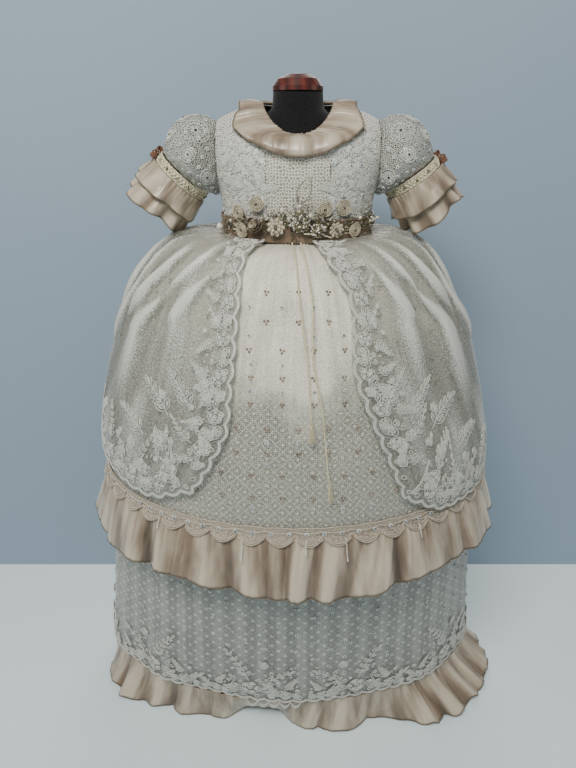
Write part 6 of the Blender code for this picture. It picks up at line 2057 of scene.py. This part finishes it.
CORD_RADIUS, CORD_OFF = 0.0010, 0.0052
LOOP_RADIUS, LOOP_OFF = 0.0007, 0.0064
CORD_LONG = ((1.5, 0.7028), (3.0, 0.6900), (4.5, 0.6500), (4.0, 0.6000), (6.0, 0.5500),
             (7.0, 0.5000), (7.6, 0.4620))
CORD_SHORT = ((-3.5, 0.7028), (-1.0, 0.6900), (0.5, 0.6500), (2.2, 0.6050), (3.0, 0.5650),
              (3.2, 0.5350))
LOOP_CORD = ((62.0, 0.7032), (66.0, 0.7015), (71.0, 0.6990), (76.0, 0.6966), (79.5, 0.6958),
             (81.5, 0.6972), (79.5, 0.6994), (75.5, 0.7016), (71.5, 0.7032))
TASSEL_LENGTH, TASSEL_RADIUS = 0.026, 0.0040


def smooth_route(points, steps):
    """Points at even steps along a smooth curve through a route's own points."""
    points = np.asarray(points)
    before = np.concatenate([points[:1], points[:-2]])
    after = np.concatenate([points[2:], points[-1:]])
    t = np.linspace(0, 1, 20, endpoint=False)[:, None]
    dense = [0.5 * (2 * b + (c - a) * t + (2 * a - 5 * b + 4 * c - d) * t ** 2
                    + (3 * b - a - 3 * c + d) * t ** 3)
             for a, b, c, d in zip(before, points[:-1], points[1:], after)]
    dense = np.concatenate(dense + [points[-1:]])
    length = np.pad(np.cumsum(np.linalg.norm(np.diff(dense, axis=0), axis=1)), (1, 0))
    even = np.linspace(0, length[-1], steps + 1)
    return np.stack([np.interp(even, length, axis) for axis in dense.T], -1)


def route_on_skirt(route, off):
    degrees, levels = np.array(route).T
    return lifted(upper_surface, np.radians(degrees), place_at_height(UPPER_SKIRT, levels), off)


def tube_length(points):
    return float(np.linalg.norm(np.diff(points, axis=0), axis=1).sum())


pale_cord = white_embroidery("pale_yellow_twisted_cord", "F0E7C4", "A5976C", 0.9)
for length_name, route, steps in (("long", CORD_LONG, 40), ("short", CORD_SHORT, 30)):
    points = smooth_route(route_on_skirt(route, CORD_OFF), steps)
    hanging = corded(f"hanging_cord_{length_name}", [points], CORD_RADIUS, pale_cord, 8)
    settle(hanging, "cream_braid", f"belt_cord_{length_name}")
    down = points[-1] - points[-2]
    down /= np.linalg.norm(down)
    spot = np.radians(route[-1][0]), place_at_height(UPPER_SKIRT, route[-1][1])
    out = normal_at(upper_surface, *spot)
    across = np.cross(down, out)
    start = points[-1] + down * SEAM + out * (TASSEL_RADIUS - CORD_RADIUS)
    threads = []
    for k in range(26):
        a, reach = 2.4 * k, math.sqrt((k + 0.5) / 26)
        splay = TASSEL_RADIUS * reach * (0.75 + 0.6 * (k % 3) / 2)
        side = math.cos(a) * across + 0.8 * math.sin(a) * out
        long = TASSEL_LENGTH * (0.88 + 0.12 * math.sin(3.1 * k))
        t = np.linspace(0, 1, 9)[:, None]
        width = np.interp(t, (0, 0.14, 0.24, 1), (0.3, 0.5, 0.32, 1.0))
        threads.append(start + down * long * t + side * splay * width)
    binding = np.linspace(0, 5 * 2 * math.pi, 60)[:, None]
    coil = start + down * (TASSEL_LENGTH * (0.20 + 0.010 * binding / math.pi)) \
        + (np.cos(binding) * across + np.sin(binding) * out) * TASSEL_RADIUS * 0.40
    tassel = corded(f"tassel_{length_name}_threads", threads, 0.00032, pale_cord, 3)
    bound = corded(f"tassel_{length_name}_binding", [coil], 0.00035, pale_cord, 4)
    for piece in (tassel, bound):
        settle(piece, "cream_braid", f"belt_tassel_{length_name}")
    tuple(points[0])
    round(tube_length(points), 3)
points = smooth_route(route_on_skirt(LOOP_CORD, LOOP_OFF), 22)
loop = corded("slipped_loop_cord", [points], LOOP_RADIUS, cotton, 8)
settle(loop, "white_lace", "belt_loop_cord")
tuple(points[0])
round(tube_length(points), 3)
